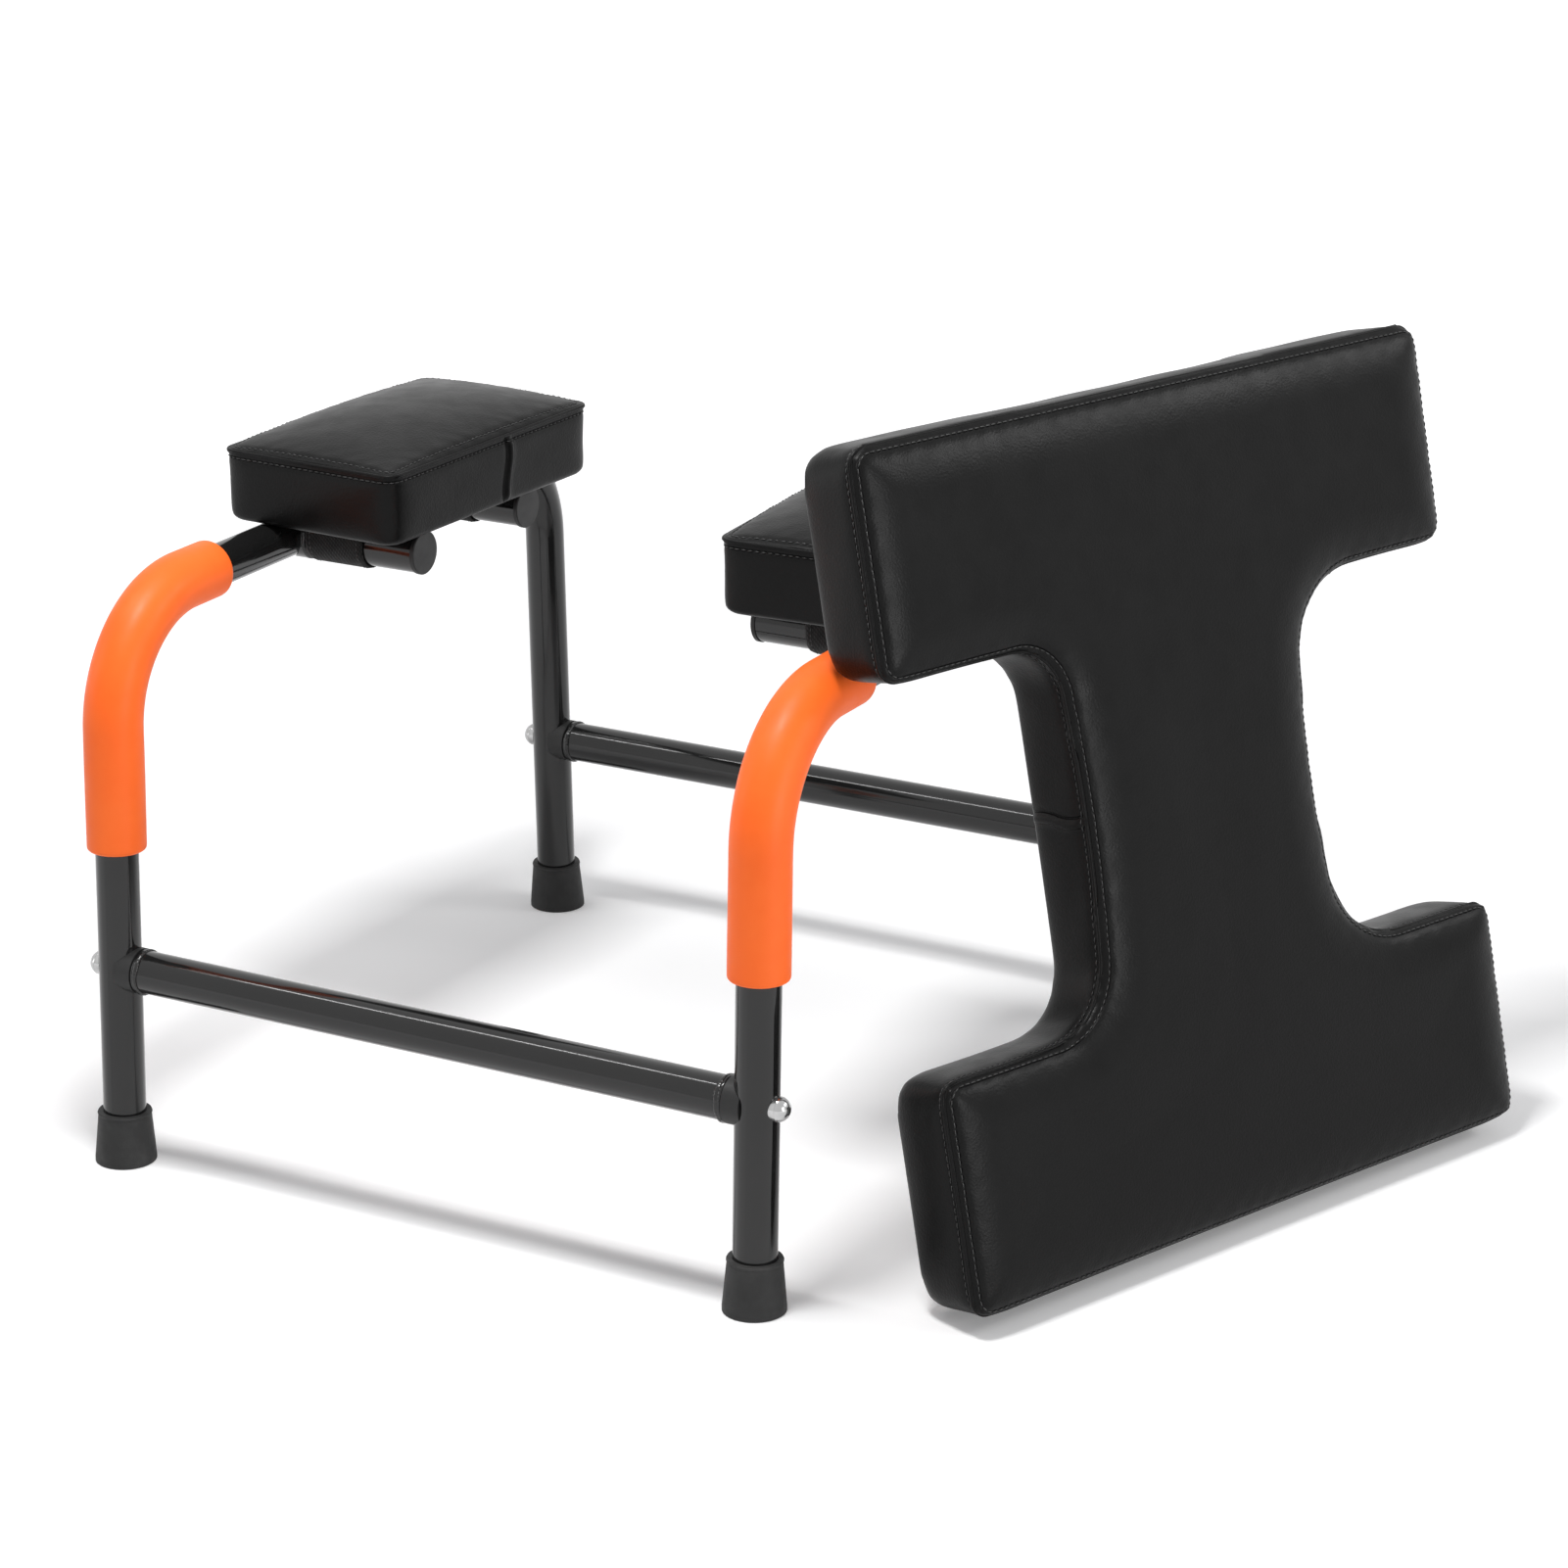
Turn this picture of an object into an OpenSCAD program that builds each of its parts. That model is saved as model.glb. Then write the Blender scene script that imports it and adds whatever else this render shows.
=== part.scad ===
// Headstand stool: two bent tube side frames, two rails, two shoulder pads
// and a loose H-shaped seat pad that leans against the right-hand side.
// Millimetres, +Z up, +X to the right, -Y is the front with the orange grips.

/* [Side frames] */
// Distance between the two side frames, tube axis to tube axis
frame_span = 471; // [420:1:520]
// Distance between the front and rear leg axes on the floor
leg_span = 540; // [500:1:600]
// Height of the axis of the top run of the tube
frame_h = 371; // [330:1:420]
// Lean of each leg towards the middle of its frame, in degrees
leg_lean = 1.75; // [0:0.25:3]
// Radius of the shoulder bends on the tube axis
bend_r = 81; // [65:1:95]
// Outside diameter of the frame tube
tube_d = 28; // [25:0.5:31]
// Wall of every tube
tube_wall = 1.5; // [1.2:0.1:2.2]

/* [Rails] */
// Height of the rail axis over the floor
rail_h = 133; // [90:1:180]
// Outside diameter of the rail tube
rail_d = 28; // [25:0.5:31]
// Outside diameter of the moulded saddle between leg and rail
saddle_d = 30; // [28:0.5:34]
// How far the saddle stands off the leg tube
saddle_stand = 3.5; // [2:0.5:8]
// How far the saddle ears reach back round the leg
saddle_wrap = 9; // [5:0.5:12]
// Length of the weld rim at each rail end
rim_len = 3.6; // [2.5:0.1:6]
// Height of the weld rim over the rail tube
rim_rise = 0.8; // [0.3:0.1:1.5]
// Length of the nut plug inside each rail end
plug_len = 16; // [10:1:24]

/* [Bolts] */
// Diameter of the rail bolt
bolt_d = 8; // [6:1:10]
// Diameter of the domed bolt head
head_d = 16; // [14:0.5:18]
// Height of the domed bolt head
head_h = 6.5; // [4:0.5:7.5]
// Width across flats of the socket in the head
socket_w = 5; // [4:0.5:6]
// Depth of the socket in the head
socket_depth = 3.5; // [2:0.5:4]
// Thickness of the curved washer at its middle
washer_t = 1.6; // [1:0.1:2.5]
// Bolt end past the face of the rail rim
bolt_reach = 14; // [8:1:16]

/* [Rubber feet] */
// Diameter of the foot where it meets the floor
foot_base_d = 40; // [36:0.5:46]
// Diameter of the foot at its mouth
foot_top_d = 34.5; // [33:0.5:36]
// Height of the foot
foot_h = 34; // [26:1:45]
// Thickness of rubber under the tube end
foot_sole = 5; // [3:0.5:8]
// Rounding of the foot's lower edge
foot_round = 2.5; // [1:0.5:4]
// Radius of the rolled lip at the mouth of the foot
foot_lip = 1.3; // [0.8:0.1:2]
// Depth of the tread groove in the sole
tread_depth = 1.2; // [0.5:0.1:2]
// Width of the tread groove in the sole
tread_w = 2.5; // [1.5:0.5:4]
// Middle diameter of the tread groove
tread_d = 24; // [16:1:28]

/* [Grips] */
// Outside diameter of the foam grips
grip_d = 38.5; // [34:0.5:44]
// Height of the lower end of each grip
grip_low = 213; // [180:1:240]
// Length of each grip along the straight top run
grip_run = 30; // [20:1:48]
// Rounding of the grip ends
grip_round = 2.5; // [1:0.5:4]
// Width of the slit that lets the grip on to the tube
slit_w = 0.8; // [0.5:0.1:1.5]

/* [Pad arms] */
// Distance between the two arms under one pad
arm_pitch = 128; // [110:1:150]
// How far the left-hand arms sit behind the middle of their frame. The right-hand
// frame is the same piece turned round, so its arms sit as far to the front
arm_shift = 11; // [0:1:16]
// Free end of an arm, measured in from the tube axis of its side frame
arm_reach = 103; // [95:1:108]
// Length of the weld collar at the root of an arm
weld_len = 4; // [2:0.5:4.5]
// Height of the weld collar over the arm
weld_rise = 1.8; // [1:0.1:2.5]
// Thickness of the end cap's flange
cap_t = 3; // [2:0.5:5]
// Height of the cap's flange over the arm tube
cap_rise = 0.6; // [0.2:0.1:1.2]
// Depth of the cap's plug inside the arm
cap_plug = 12; // [6:1:20]
// Width of the strap round each arm
strap_w = 45; // [30:1:48]
// Thickness of the strap
strap_t = 1.8; // [1.2:0.1:2.5]

/* [Shoulder pads] */
// Width of a shoulder pad, across the stool
pad_w = 141; // [120:1:145]
// Length of a shoulder pad, front to back
pad_l = 230; // [210:1:250]
// Height of a shoulder pad from its underside to its top seam
pad_t = 49; // [38:1:60]
// Pad middle, measured in from the tube axis of its side frame
pad_in = 45; // [42:1:54]
// Turn of each pad, front end outwards, in degrees
pad_turn = 2.9; // [0:0.1:4]
// How far each pad sits behind the middle of its two arms
pad_back = 8; // [0:1:12]

/* [Large pad] */
// Width of the waist of the large pad
waist_w = 206; // [170:1:220]
// How far each side of the waist draws in at its middle
waist_bow = 3.5; // [0:0.5:5]
// Height of the lower bar of the large pad
bar_h = 150; // [125:1:160]
// Height of the upper bar of the large pad
top_bar_h = 144; // [125:1:160]
// Thickness of the large pad up to its face seam
large_t = 50; // [45:1:65]
// Depth of each notch from the pad's side
notch_d = 142; // [125:1:160]
// Height of each notch
notch_h = 237; // [200:1:260]
// Radius of the inner corners of the notches
notch_r = 54; // [40:1:65]
// How much tighter those corners are at the back of the pad
notch_tight = 16; // [0:1:20]
// Turn of the leaning pad about the upright, in degrees
lean_turn = 69.6; // [60:0.05:75]
// Lean of the pad back against the stool, in degrees
lean_back = 13.1; // [11:0.1:16]
// How much closer the rounded back edge lets the leaning pad come to the grip
lean_settle = 2.7; // [0:0.1:2.8]
// Place of the pad's front lower corner along its own foot line
lean_slide = -103; // [-110:1:-80]

/* [Upholstery] */
// Radius of the seam at the outer corners
seam_r = 13; // [8:1:18]
// Height of the crown over the seam
crown_h = 8; // [5:0.5:12]
// How far in from the seam the crown goes on rising
crown_reach = 56; // [40:1:60]
// Draw of the side band halfway up its height
side_draw = 0.8; // [0.5:0.1:2]
// Draw of the side band halfway between two corners
plan_draw = 1; // [0.5:0.1:2]
// Roundness of the back edge
back_round = 5; // [4:0.5:10]
// How much rounder the large pad's corners are at the back than at the seam
back_corner = 8; // [0:0.5:9]
// The same for the shoulder pads
pad_back_corner = 1.5; // [0:0.5:9]
// Distance of the sewn channel from the seam
channel_in = 5; // [4:0.5:7]
// Depth of the sewn channel
channel_depth = 0.7; // [0.3:0.1:1.2]
// Height of the seam's raised rib
rib_rise = 0.6; // [0.3:0.1:1]
// Thickness of the cover at the sides
cover_t = 3; // [2:0.5:4]
// Thickness of the board under the foam
board_t = 12; // [9:0.5:15]
// Thickness of the cover's hem that is folded under the board
hem_t = 1.5; // [1:0.1:2]
// Width of the hem from the pad's edge
hem_w = 26; // [20:1:32]

/* [Fits] */
// Gap between a tube and the moulded piece that holds it
fit_gap = 0.15; // [0.1:0.05:0.3]
// Gap between a soft piece and what it lies on
soft_gap = 0.3; // [0.2:0.1:0.5]
// Gap between the bolt and a drilled clearance hole, on the radius
hole_gap = 0.5; // [0.3:0.1:0.8]
// Gap between the bolt and its nut plug, on the radius
thread_gap = 0.08; // [0.05:0.01:0.1]
// Gap between the leaning pad and the grip or pad that it leans on
lean_gap = 0.4; // [0.3:0.1:1]

/* [Hidden] */
$fn = 48;
tube_r = tube_d / 2;
rail_r = rail_d / 2;
grip_r = grip_d / 2;
bolt_r = bolt_d / 2;
half_span = frame_span / 2;
// Whole hundredths of a millimetre, so that pieces that meet share one plane
function even(v) = round(v * 100) / 100;
// The lean with its cosine a whole millionth, so that a turned piece keeps its size
cos_places = 1000000;
lean = acos(round(cos(leg_lean) * cos_places) / cos_places);
// Shoulder bend: the arc that joins a leaning leg to the level top run
run_corner = leg_span / 2 - frame_h * tan(lean);
bend_y = even(run_corner - bend_r * tan((90 - lean) / 2));
bend_z = frame_h - bend_r;
leg_len = even((bend_z + bend_r * sin(lean)) / cos(lean));
rail_y = leg_span / 2 - rail_h * tan(lean);
// Stack of faces along the rail axis, measured in from the leg axis
saddle_x = tube_r + saddle_stand;
rim_x = saddle_x + rim_len;
rail_len = frame_span - 2 * rim_x;
washer_x = tube_r + washer_t;
pad_x = half_span - pad_in;
pad_z = frame_h + tube_r + soft_gap;
arm_y = arm_pitch / 2;
strap_x = tube_r + fit_gap + weld_len;
grip_z = even(grip_low / cos(lean));

// Outline corners, anticlockwise: place, radius, what the radius gains at the
// back, steps in the arc, and the bow of the edge that follows where it has one
large_w = waist_w + 2 * notch_d;
large_h = notch_h + bar_h + top_bar_h;
pad_steps = 5;
bar_steps = 2;
notch_steps = 5;
pad_outline = [
    [[-pad_w / 2, -pad_l / 2], seam_r, pad_back_corner, pad_steps],
    [[pad_w / 2, -pad_l / 2], seam_r, pad_back_corner, pad_steps],
    [[pad_w / 2, pad_l / 2], seam_r, pad_back_corner, pad_steps],
    [[-pad_w / 2, pad_l / 2], seam_r, pad_back_corner, pad_steps]
];
large_outline = [
    [[0, 0], seam_r, back_corner, bar_steps],
    [[large_w, 0], seam_r, back_corner, bar_steps],
    [[large_w, bar_h], seam_r, back_corner, bar_steps],
    [[large_w - notch_d, bar_h], notch_r, -notch_tight, notch_steps, waist_bow],
    [[large_w - notch_d, large_h - top_bar_h], notch_r, -notch_tight, notch_steps],
    [[large_w, large_h - top_bar_h], seam_r, back_corner, bar_steps],
    [[large_w, large_h], seam_r, back_corner, bar_steps],
    [[0, large_h], seam_r, back_corner, bar_steps],
    [[0, large_h - top_bar_h], seam_r, back_corner, bar_steps],
    [[notch_d, large_h - top_bar_h], notch_r, -notch_tight, notch_steps, waist_bow],
    [[notch_d, bar_h], notch_r, -notch_tight, notch_steps],
    [[0, bar_h], seam_r, back_corner, bar_steps]
];

// Room for the board and the foam inside a cover, as insets and heights
core_in = cover_t + side_draw + plan_draw;
board_in = core_in + back_round * 0.4;
foam_z = hem_t + board_t + fit_gap;
// Section of a cover: inset, height, share of the plan draw, share of the back's
// rounder corners. It runs from the ceiling over the foam down to the hem, then
// up the side and over the crown
function cover_section(t, reach) = [
    [core_in, t - cover_t, 0, 0],
    [core_in, foam_z, 0, 0],
    [board_in, foam_z, 0, 0],
    [board_in, hem_t, 0, 0],
    [hem_w, hem_t, 0, 0],
    [hem_w, 0, 0, 0],
    [back_round, 0, 0, 1],
    [back_round * 0.4, back_round * 0.1, 0.3, 1],
    [back_round * 0.06, back_round * 0.5, 0.7, 0.9],
    [side_draw, t / 2, 1, 0.4],
    [side_draw * 0.35, t - channel_in * 1.6, 0.8, 0.1],
    [side_draw * 0.35 + channel_depth, t - channel_in, 0.7, 0.1],
    [-rib_rise, t - rib_rise * 1.5, 0.5, 0],
    [rib_rise, t + rib_rise, 0.5, 0],
    [channel_in * 0.6, t + crown_h * 0.22, 0.4, 0],
    [channel_in, t + crown_h * 0.2 - channel_depth, 0.4, 0],
    [channel_in * 1.35, t + crown_h * 0.33, 0.3, 0],
    [reach * 0.25, t + crown_h * 0.5, 0, 0],
    [reach * 0.55, t + crown_h * 0.82, 0, 0],
    [reach, t + crown_h * 0.98, 0, 0]
];

function turned(v) = [-v[1], v[0]];
// One ring of an outline moved in by s[0], drawn in between its corners
function ring(c, s) = [
    for (i = [0 : len(c) - 1])
    let (
        here = c[i][0],
        next = c[(i + 1) % len(c)][0],
        from = here - c[(i + len(c) - 1) % len(c)][0],
        a = from / norm(from),
        b = (next - here) / norm(next - here),
        bulges = cross(a, b) > 0,
        sharp = bulges ? max(c[i][1] - s[0] * 0.6, 2) : c[i][1] + s[0],
        r = sharp + c[i][2] * s[3],
        bow = len(c[i]) > 4 ? c[i][4] * (1 - s[3]) : 0,
        corner = here + (turned(a) + turned(b)) * s[0],
        middle = corner + (b - a) * r,
        halfway = (here + next) / 2 + turned(b) * (s[0] + plan_draw * s[2] + bow)
    )
    for (k = [0 : c[i][3] + 1])
    let (
        turn = 90 * k / c[i][3],
        p = k > c[i][3] ? halfway : middle + (a * sin(turn) - b * cos(turn)) * r
    )
    [p[0], p[1], s[1]]
];
// Number of ring points before corner i, and the triangles of a fan
function before(c, i) = i == 0 ? 0 : before(c, i - 1) + c[i - 1][3] + 2;
function fan(hub, rim) = [for (i = [1 : len(rim) - 1]) [hub, rim[i - 1], rim[i]]];
function flat_list(l) = [for (part = l) for (p = part) p];
// Closed skin over a stack of rings with the same number of points. Each end
// is capped by fans from its hubs; caps lists the triangles of one end
module skin(rings, hubs, caps) {
    n = len(rings[0]);
    last = len(rings) - 1;
    first_hub = n * len(rings);
    low = [for (h = hubs) [h[0], h[1], rings[0][0][2]]];
    high = [for (h = hubs) [h[0], h[1], rings[last][0][2] + crown_h * 0.02]];
    sides = [for (i = [0 : last - 1]) for (j = [0 : n - 1])
        let (k = (j + 1) % n)
        each [[i * n + j, i * n + n + j, i * n + n + k], [i * n + j, i * n + n + k, i * n + k]]];
    function at(p, base, hub_base) = p < 0 ? hub_base - p - 1 : base + p;
    polyhedron(
        points = concat(flat_list(rings), low, high),
        faces = concat(
            [for (f = caps) [for (p = f) at(p, 0, first_hub)]],
            sides,
            [for (f = caps) [for (p = [f[2], f[1], f[0]]) at(p, last * n, first_hub + len(hubs))]]
        )
    );
}
module shoulder_cover() {
    n = before(pad_outline, len(pad_outline));
    skin(
        [for (s = cover_section(pad_t, crown_reach * 0.9)) ring(pad_outline, s)],
        [[0, 0]],
        fan(-1, [for (i = [0 : n]) i % n])
    );
}
// The H has a hub in each bar and a plain strip across its waist
module large_cover() {
    c = large_outline;
    n = before(c, len(c));
    right_low = before(c, 3) + notch_steps;
    right_high = before(c, 4);
    left_high = before(c, 9) + notch_steps;
    left_low = before(c, 10);
    skin(
        [for (s = cover_section(large_t, crown_reach)) ring(c, s)],
        [[large_w / 2, bar_h / 2], [large_w / 2, large_h - top_bar_h / 2]],
        concat(
            fan(-1, [for (i = [left_low : right_low + n]) i % n]),
            [[-1, right_low, left_low]],
            fan(-2, [for (i = [right_high : left_high]) i]),
            [[-2, left_high, right_high]],
            fan(right_low + 1, [right_high, left_high, left_high + 1, left_low, right_low])
        )
    );
}

// Leaning pose of the large pad
lean_out = [sin(lean_turn), -cos(lean_turn), 0];
lean_along = [cos(lean_turn), sin(lean_turn), 0];
lean_face = lean_out * cos(lean_back) + [0, 0, sin(lean_back)];
// Farthest that the right-hand grip and pad reach towards the leaning pad
grip_steps = 12;
grip_reach = max([
    for (k = [0 : grip_steps])
    let (
        turn = lean + (90 - lean) * k / grip_steps,
        place = [half_span, -bend_y - bend_r * cos(turn), bend_z + bend_r * sin(turn)],
        way = [0, sin(turn), cos(turn)],
        along = place * lean_along - lean_slide
    )
    along > 0 ? place * lean_face + grip_r * norm(cross(lean_face, way)) : 0
]);
// The pad's seam corner is round, so it reaches less far than a sharp one
pad_round_in = seam_r * (lean_out[0] * (1 + sin(pad_turn)) - lean_out[1] - 1);
pad_corner = [
    pad_x + pad_w / 2 * cos(pad_turn) + pad_l / 2 * sin(pad_turn),
    pad_back - arm_shift + pad_w / 2 * sin(pad_turn) - pad_l / 2 * cos(pad_turn),
    pad_z + pad_t
];
pad_reach = pad_corner * lean_face + rib_rise - pad_round_in * cos(lean_back) * 0.8;
lean_dist = max(grip_reach - lean_settle, pad_reach) + lean_gap;
lean_foot = (lean_dist - soft_gap * sin(lean_back)) / cos(lean_back);
lean_origin = lean_along * lean_slide + lean_out * lean_foot + [0, 0, soft_gap];

// The whole part stands with the middle of its floor area at the origin
left_side = -pad_x - seam_r - rib_rise
    - (pad_w / 2 - seam_r) * cos(pad_turn) - (pad_l / 2 - seam_r) * sin(pad_turn);
right_side = lean_origin[0] + large_w * lean_along[0] + (large_t + rib_rise) * lean_face[0];
mid_x = (left_side + right_side) / 2;
echo(mid_x = mid_x, lean_origin = lean_origin, large = [large_w, large_h]);
echo(grip_reach = grip_reach, pad_reach = pad_reach, lean_foot = lean_foot);

// Colours of the finishes
tube_black = [0.06, 0.06, 0.065];
cap_black = [0.11, 0.11, 0.115];
rubber_black = [0.07, 0.07, 0.07];
vinyl_black = [0.09, 0.09, 0.095];
strap_black = [0.05, 0.05, 0.055];
grip_orange = [1.0, 0.36, 0.09];
chrome_grey = [0.8, 0.8, 0.82];
foam_cream = [0.86, 0.82, 0.66];
board_tan = [0.72, 0.55, 0.36];

// Moves a piece drawn about the stool's own middle to the part's origin
module placed() {
    translate([-mid_x, 0, 0]) children();
}
// Axis of a leg: local Z runs up the leg from the floor
module on_leg(side, end) {
    translate([side * half_span, end * leg_span / 2, 0])
    rotate([end * lean, 0, 0])
    children();
}
// Axis of a rail end: local X runs from the leg axis in along the rail
module on_rail_end(side, end) {
    translate([side * half_span, end * rail_y, rail_h])
    rotate([0, 0, side < 0 ? 0 : 180])
    children();
}
// Root of an arm: local X runs from the frame tube in under the pad
module on_arm(side, end) {
    translate([side * half_span, end * arm_y - side * arm_shift, frame_h])
    rotate([0, 0, side < 0 ? 0 : 180])
    children();
}
module along_x() {
    rotate([0, 90, 0]) children();
}
module round_bar(r, low, high) {
    along_x() translate([0, 0, low]) cylinder(r = r, h = high - low);
}
module tube_section(outer, inner) {
    difference() {
        circle(r = outer);
        circle(r = inner);
    }
}
// Frame of a bend: local X runs out from its centre towards the leg's top end
module at_bend(side, end) {
    translate([side * half_span, 0, 0]) mirror([0, end < 0 ? 1 : 0, 0])
    translate([0, bend_y, bend_z]) rotate([90, 0, 90]) rotate([0, 0, lean])
    children();
}
// Sweeps a section round a bend and cuts it square at the top run
module bend(side, end) {
    intersection() {
        at_bend(side, end) rotate_extrude(angle = 95) translate([bend_r, 0]) children();
        mirror([0, end < 0 ? 1 : 0, 0]) translate([side * half_span - grip_d, bend_y, 0])
            cube([grip_d * 2, bend_r * 2, frame_h * 2]);
    }
}
module top_run(side, low, high) {
    translate([side * half_span, low, frame_h]) rotate([-90, 0, 0])
    linear_extrude(high - low) children();
}

module side_tube(side) {
    bore = tube_r - tube_wall;
    difference() {
        union() {
            top_run(side, -bend_y, bend_y) tube_section(tube_r, bore);
            for (end = [-1, 1]) {
                bend(side, end) tube_section(tube_r, bore);
                at_bend(side, end) translate([bend_r, 0, 0]) rotate([90, 0, 0])
                    linear_extrude(leg_len - foot_sole) tube_section(tube_r, bore);
            }
        }
        for (end = [-1, 1])
            on_rail_end(side, end) round_bar(bolt_r + hole_gap, -tube_d, tube_d);
    }
}

module foot_profile() {
    base_r = foot_base_d / 2;
    top_r = foot_top_d / 2;
    difference() {
        union() {
            polygon([
                [0, -foot_round],
                [base_r - foot_round, -foot_round],
                [base_r, 0],
                [base_r, foot_round],
                [top_r, foot_h - foot_lip],
                [top_r, foot_h],
                [0, foot_h]
            ]);
            translate([base_r - foot_round, 0]) circle(r = foot_round);
            translate([top_r - foot_lip * 0.6, foot_h - foot_lip]) circle(r = foot_lip);
        }
        translate([0, foot_sole - fit_gap]) square([tube_r + fit_gap, foot_h]);
        translate([-foot_base_d, -foot_base_d / 2]) square([foot_base_d, foot_base_d * 2]);
    }
}
module foot(side, end) {
    difference() {
        on_leg(side, end) rotate_extrude() foot_profile();
        translate([side * half_span, end * leg_span / 2, -foot_base_d])
            cylinder(d = foot_base_d * 2, h = foot_base_d);
        translate([side * half_span, end * leg_span / 2, 0])
        rotate_extrude() translate([(tread_d - tread_w) / 2, -tread_depth])
            square([tread_w, tread_depth * 2]);
    }
}

module rail_tube(end) {
    translate([-rail_len / 2, end * rail_y, rail_h]) along_x()
    linear_extrude(rail_len) tube_section(rail_r, rail_r - tube_wall);
}
// Nut plug with the weld rim that closes the end of a rail
module rail_nut(side, end) {
    on_rail_end(side, end) difference() {
        union() {
            round_bar(rail_r - tube_wall - fit_gap, saddle_x, rim_x + plug_len);
            along_x() translate([0, 0, saddle_x]) rotate_extrude() {
                square([rail_r, rim_len]);
                translate([rail_r + rim_rise - rim_len / 2, rim_len / 2])
                    circle(d = rim_len);
            }
        }
        round_bar(bolt_r + thread_gap, 0, half_span / 2);
    }
}
// Moulded saddle: its mouth is cut to the round of the leg
module rail_saddle(side, end) {
    difference() {
        on_rail_end(side, end)
            round_bar(saddle_d / 2, tube_r - saddle_wrap, saddle_x);
        on_leg(side, end) cylinder(r = tube_r + fit_gap, h = leg_len);
        on_rail_end(side, end) round_bar(bolt_r + hole_gap, 0, saddle_x + tube_r);
    }
}
module bolt_washer(side, end) {
    difference() {
        on_rail_end(side, end)
            round_bar(head_d / 2, -washer_x, -tube_r * 0.8);
        on_leg(side, end) cylinder(r = tube_r + fit_gap / 2, h = leg_len);
        on_rail_end(side, end) round_bar(bolt_r + hole_gap, -tube_d, tube_d);
    }
}
module rail_bolt(side, end) {
    head_x = -washer_x - fit_gap / 2;
    dome_r = (head_d * head_d / 4 + head_h * head_h) / (2 * head_h);
    on_rail_end(side, end) difference() {
        union() {
            intersection() {
                translate([head_x - head_h + dome_r, 0, 0]) sphere(r = dome_r);
                round_bar(head_d / 2, head_x - head_h, head_x);
            }
            round_bar(bolt_r, head_x, saddle_x + bolt_reach);
        }
        translate([head_x - head_h - socket_depth, 0, 0]) along_x()
            cylinder(d = socket_w / cos(30), h = socket_depth * 2, $fn = 6);
    }
}

module pad_arm(side, end) {
    difference() {
        on_arm(side, end) difference() {
            union() {
                round_bar(tube_r, 0, arm_reach - cap_t);
                along_x() rotate_extrude() polygon([
                    [0, tube_r / 3],
                    [tube_r + weld_rise, tube_r / 3],
                    [tube_r + weld_rise, tube_r + fit_gap + weld_len * 0.25],
                    [tube_r, tube_r + fit_gap + weld_len * 0.75],
                    [0, tube_r + fit_gap + weld_len * 0.75]
                ]);
            }
            round_bar(tube_r - tube_wall, -tube_r, arm_reach);
            translate([-tube_r, -tube_d, tube_r])
                cube([arm_reach + tube_d, tube_d * 2, tube_d]);
        }
        top_run(side, -bend_y, bend_y) circle(r = tube_r + fit_gap);
    }
}
module arm_cap(side, end) {
    on_arm(side, end) union() {
        round_bar(tube_r - tube_wall - fit_gap, arm_reach - cap_t - cap_plug, arm_reach - cap_t);
        along_x() translate([0, 0, arm_reach - cap_t]) rotate_extrude() difference() {
            square([tube_r + cap_rise, cap_t]);
            translate([tube_r + cap_rise, cap_t]) rotate([0, 0, 45])
                square(cap_rise * sqrt(2), center = true);
        }
    }
}
// Strap: under the arm and up both sides to the underside of the pad
module arm_strap(side, end) {
    inner = tube_r + fit_gap;
    outer = inner + strap_t;
    on_arm(side, end) translate([strap_x, 0, 0]) along_x()
    linear_extrude(strap_w) difference() {
        union() {
            circle(r = outer);
            translate([-tube_r, -outer]) square([tube_r, outer * 2]);
        }
        circle(r = inner);
        translate([-tube_r, -inner]) square([tube_r, inner * 2]);
        translate([-tube_r - tube_d, -tube_d]) square([tube_d, tube_d * 2]);
    }
}

// Section of a grip, with the slit that lets it on to the tube
module grip_section(turn) {
    difference() {
        tube_section(grip_r, tube_r + fit_gap);
        rotate(turn) translate([-slit_w / 2, 0]) square([slit_w, grip_d]);
    }
}
// Straight stretch of a grip with its free end at the origin, running up Z
module grip_stretch(length, turn) {
    intersection() {
        linear_extrude(length) grip_section(turn);
        rotate_extrude() union() {
            translate([0, grip_round]) square([grip_d, length]);
            square([grip_r - grip_round, grip_round * 2]);
            translate([grip_r - grip_round, grip_round]) circle(r = grip_round);
        }
    }
}
// The slit runs along the side that faces left, out of the way of the hand
module grip(side) {
    leg_part = leg_len - grip_z;
    union() {
        bend(side, -1) grip_section(180);
        at_bend(side, -1) translate([bend_r, -leg_part, 0]) rotate([-90, 0, 0])
            grip_stretch(leg_part, 0);
        translate([side * half_span, grip_run - bend_y, frame_h]) rotate([90, 0, 0])
            grip_stretch(grip_run, 90);
    }
}

// Flat plan of an outline moved in by the inset
module plan(c, inset) {
    polygon([for (p = ring(c, [inset, 0, 0, 0])) [p[0], p[1]]]);
}
module foam_block(c, t) {
    translate([0, 0, foam_z + fit_gap])
    linear_extrude(t - cover_t - foam_z - 2 * fit_gap) plan(c, core_in + fit_gap);
}
module board_sheet(c) {
    translate([0, 0, hem_t + fit_gap])
    linear_extrude(board_t - fit_gap) plan(c, board_in + fit_gap);
}
module backing_sheet(c) {
    linear_extrude(hem_t - fit_gap) plan(c, hem_w + fit_gap);
}
module on_pad(side) {
    translate([side * pad_x, pad_back - side * arm_shift, pad_z]) rotate([0, 0, side * pad_turn])
        children();
}
module on_large_pad() {
    multmatrix([
        [lean_along[0], -lean_out[0] * sin(lean_back), lean_face[0], lean_origin[0]],
        [lean_along[1], -lean_out[1] * sin(lean_back), lean_face[1], lean_origin[1]],
        [0, cos(lean_back), lean_face[2], lean_origin[2]],
        [0, 0, 0, 1]
    ]) children();
}

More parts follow.
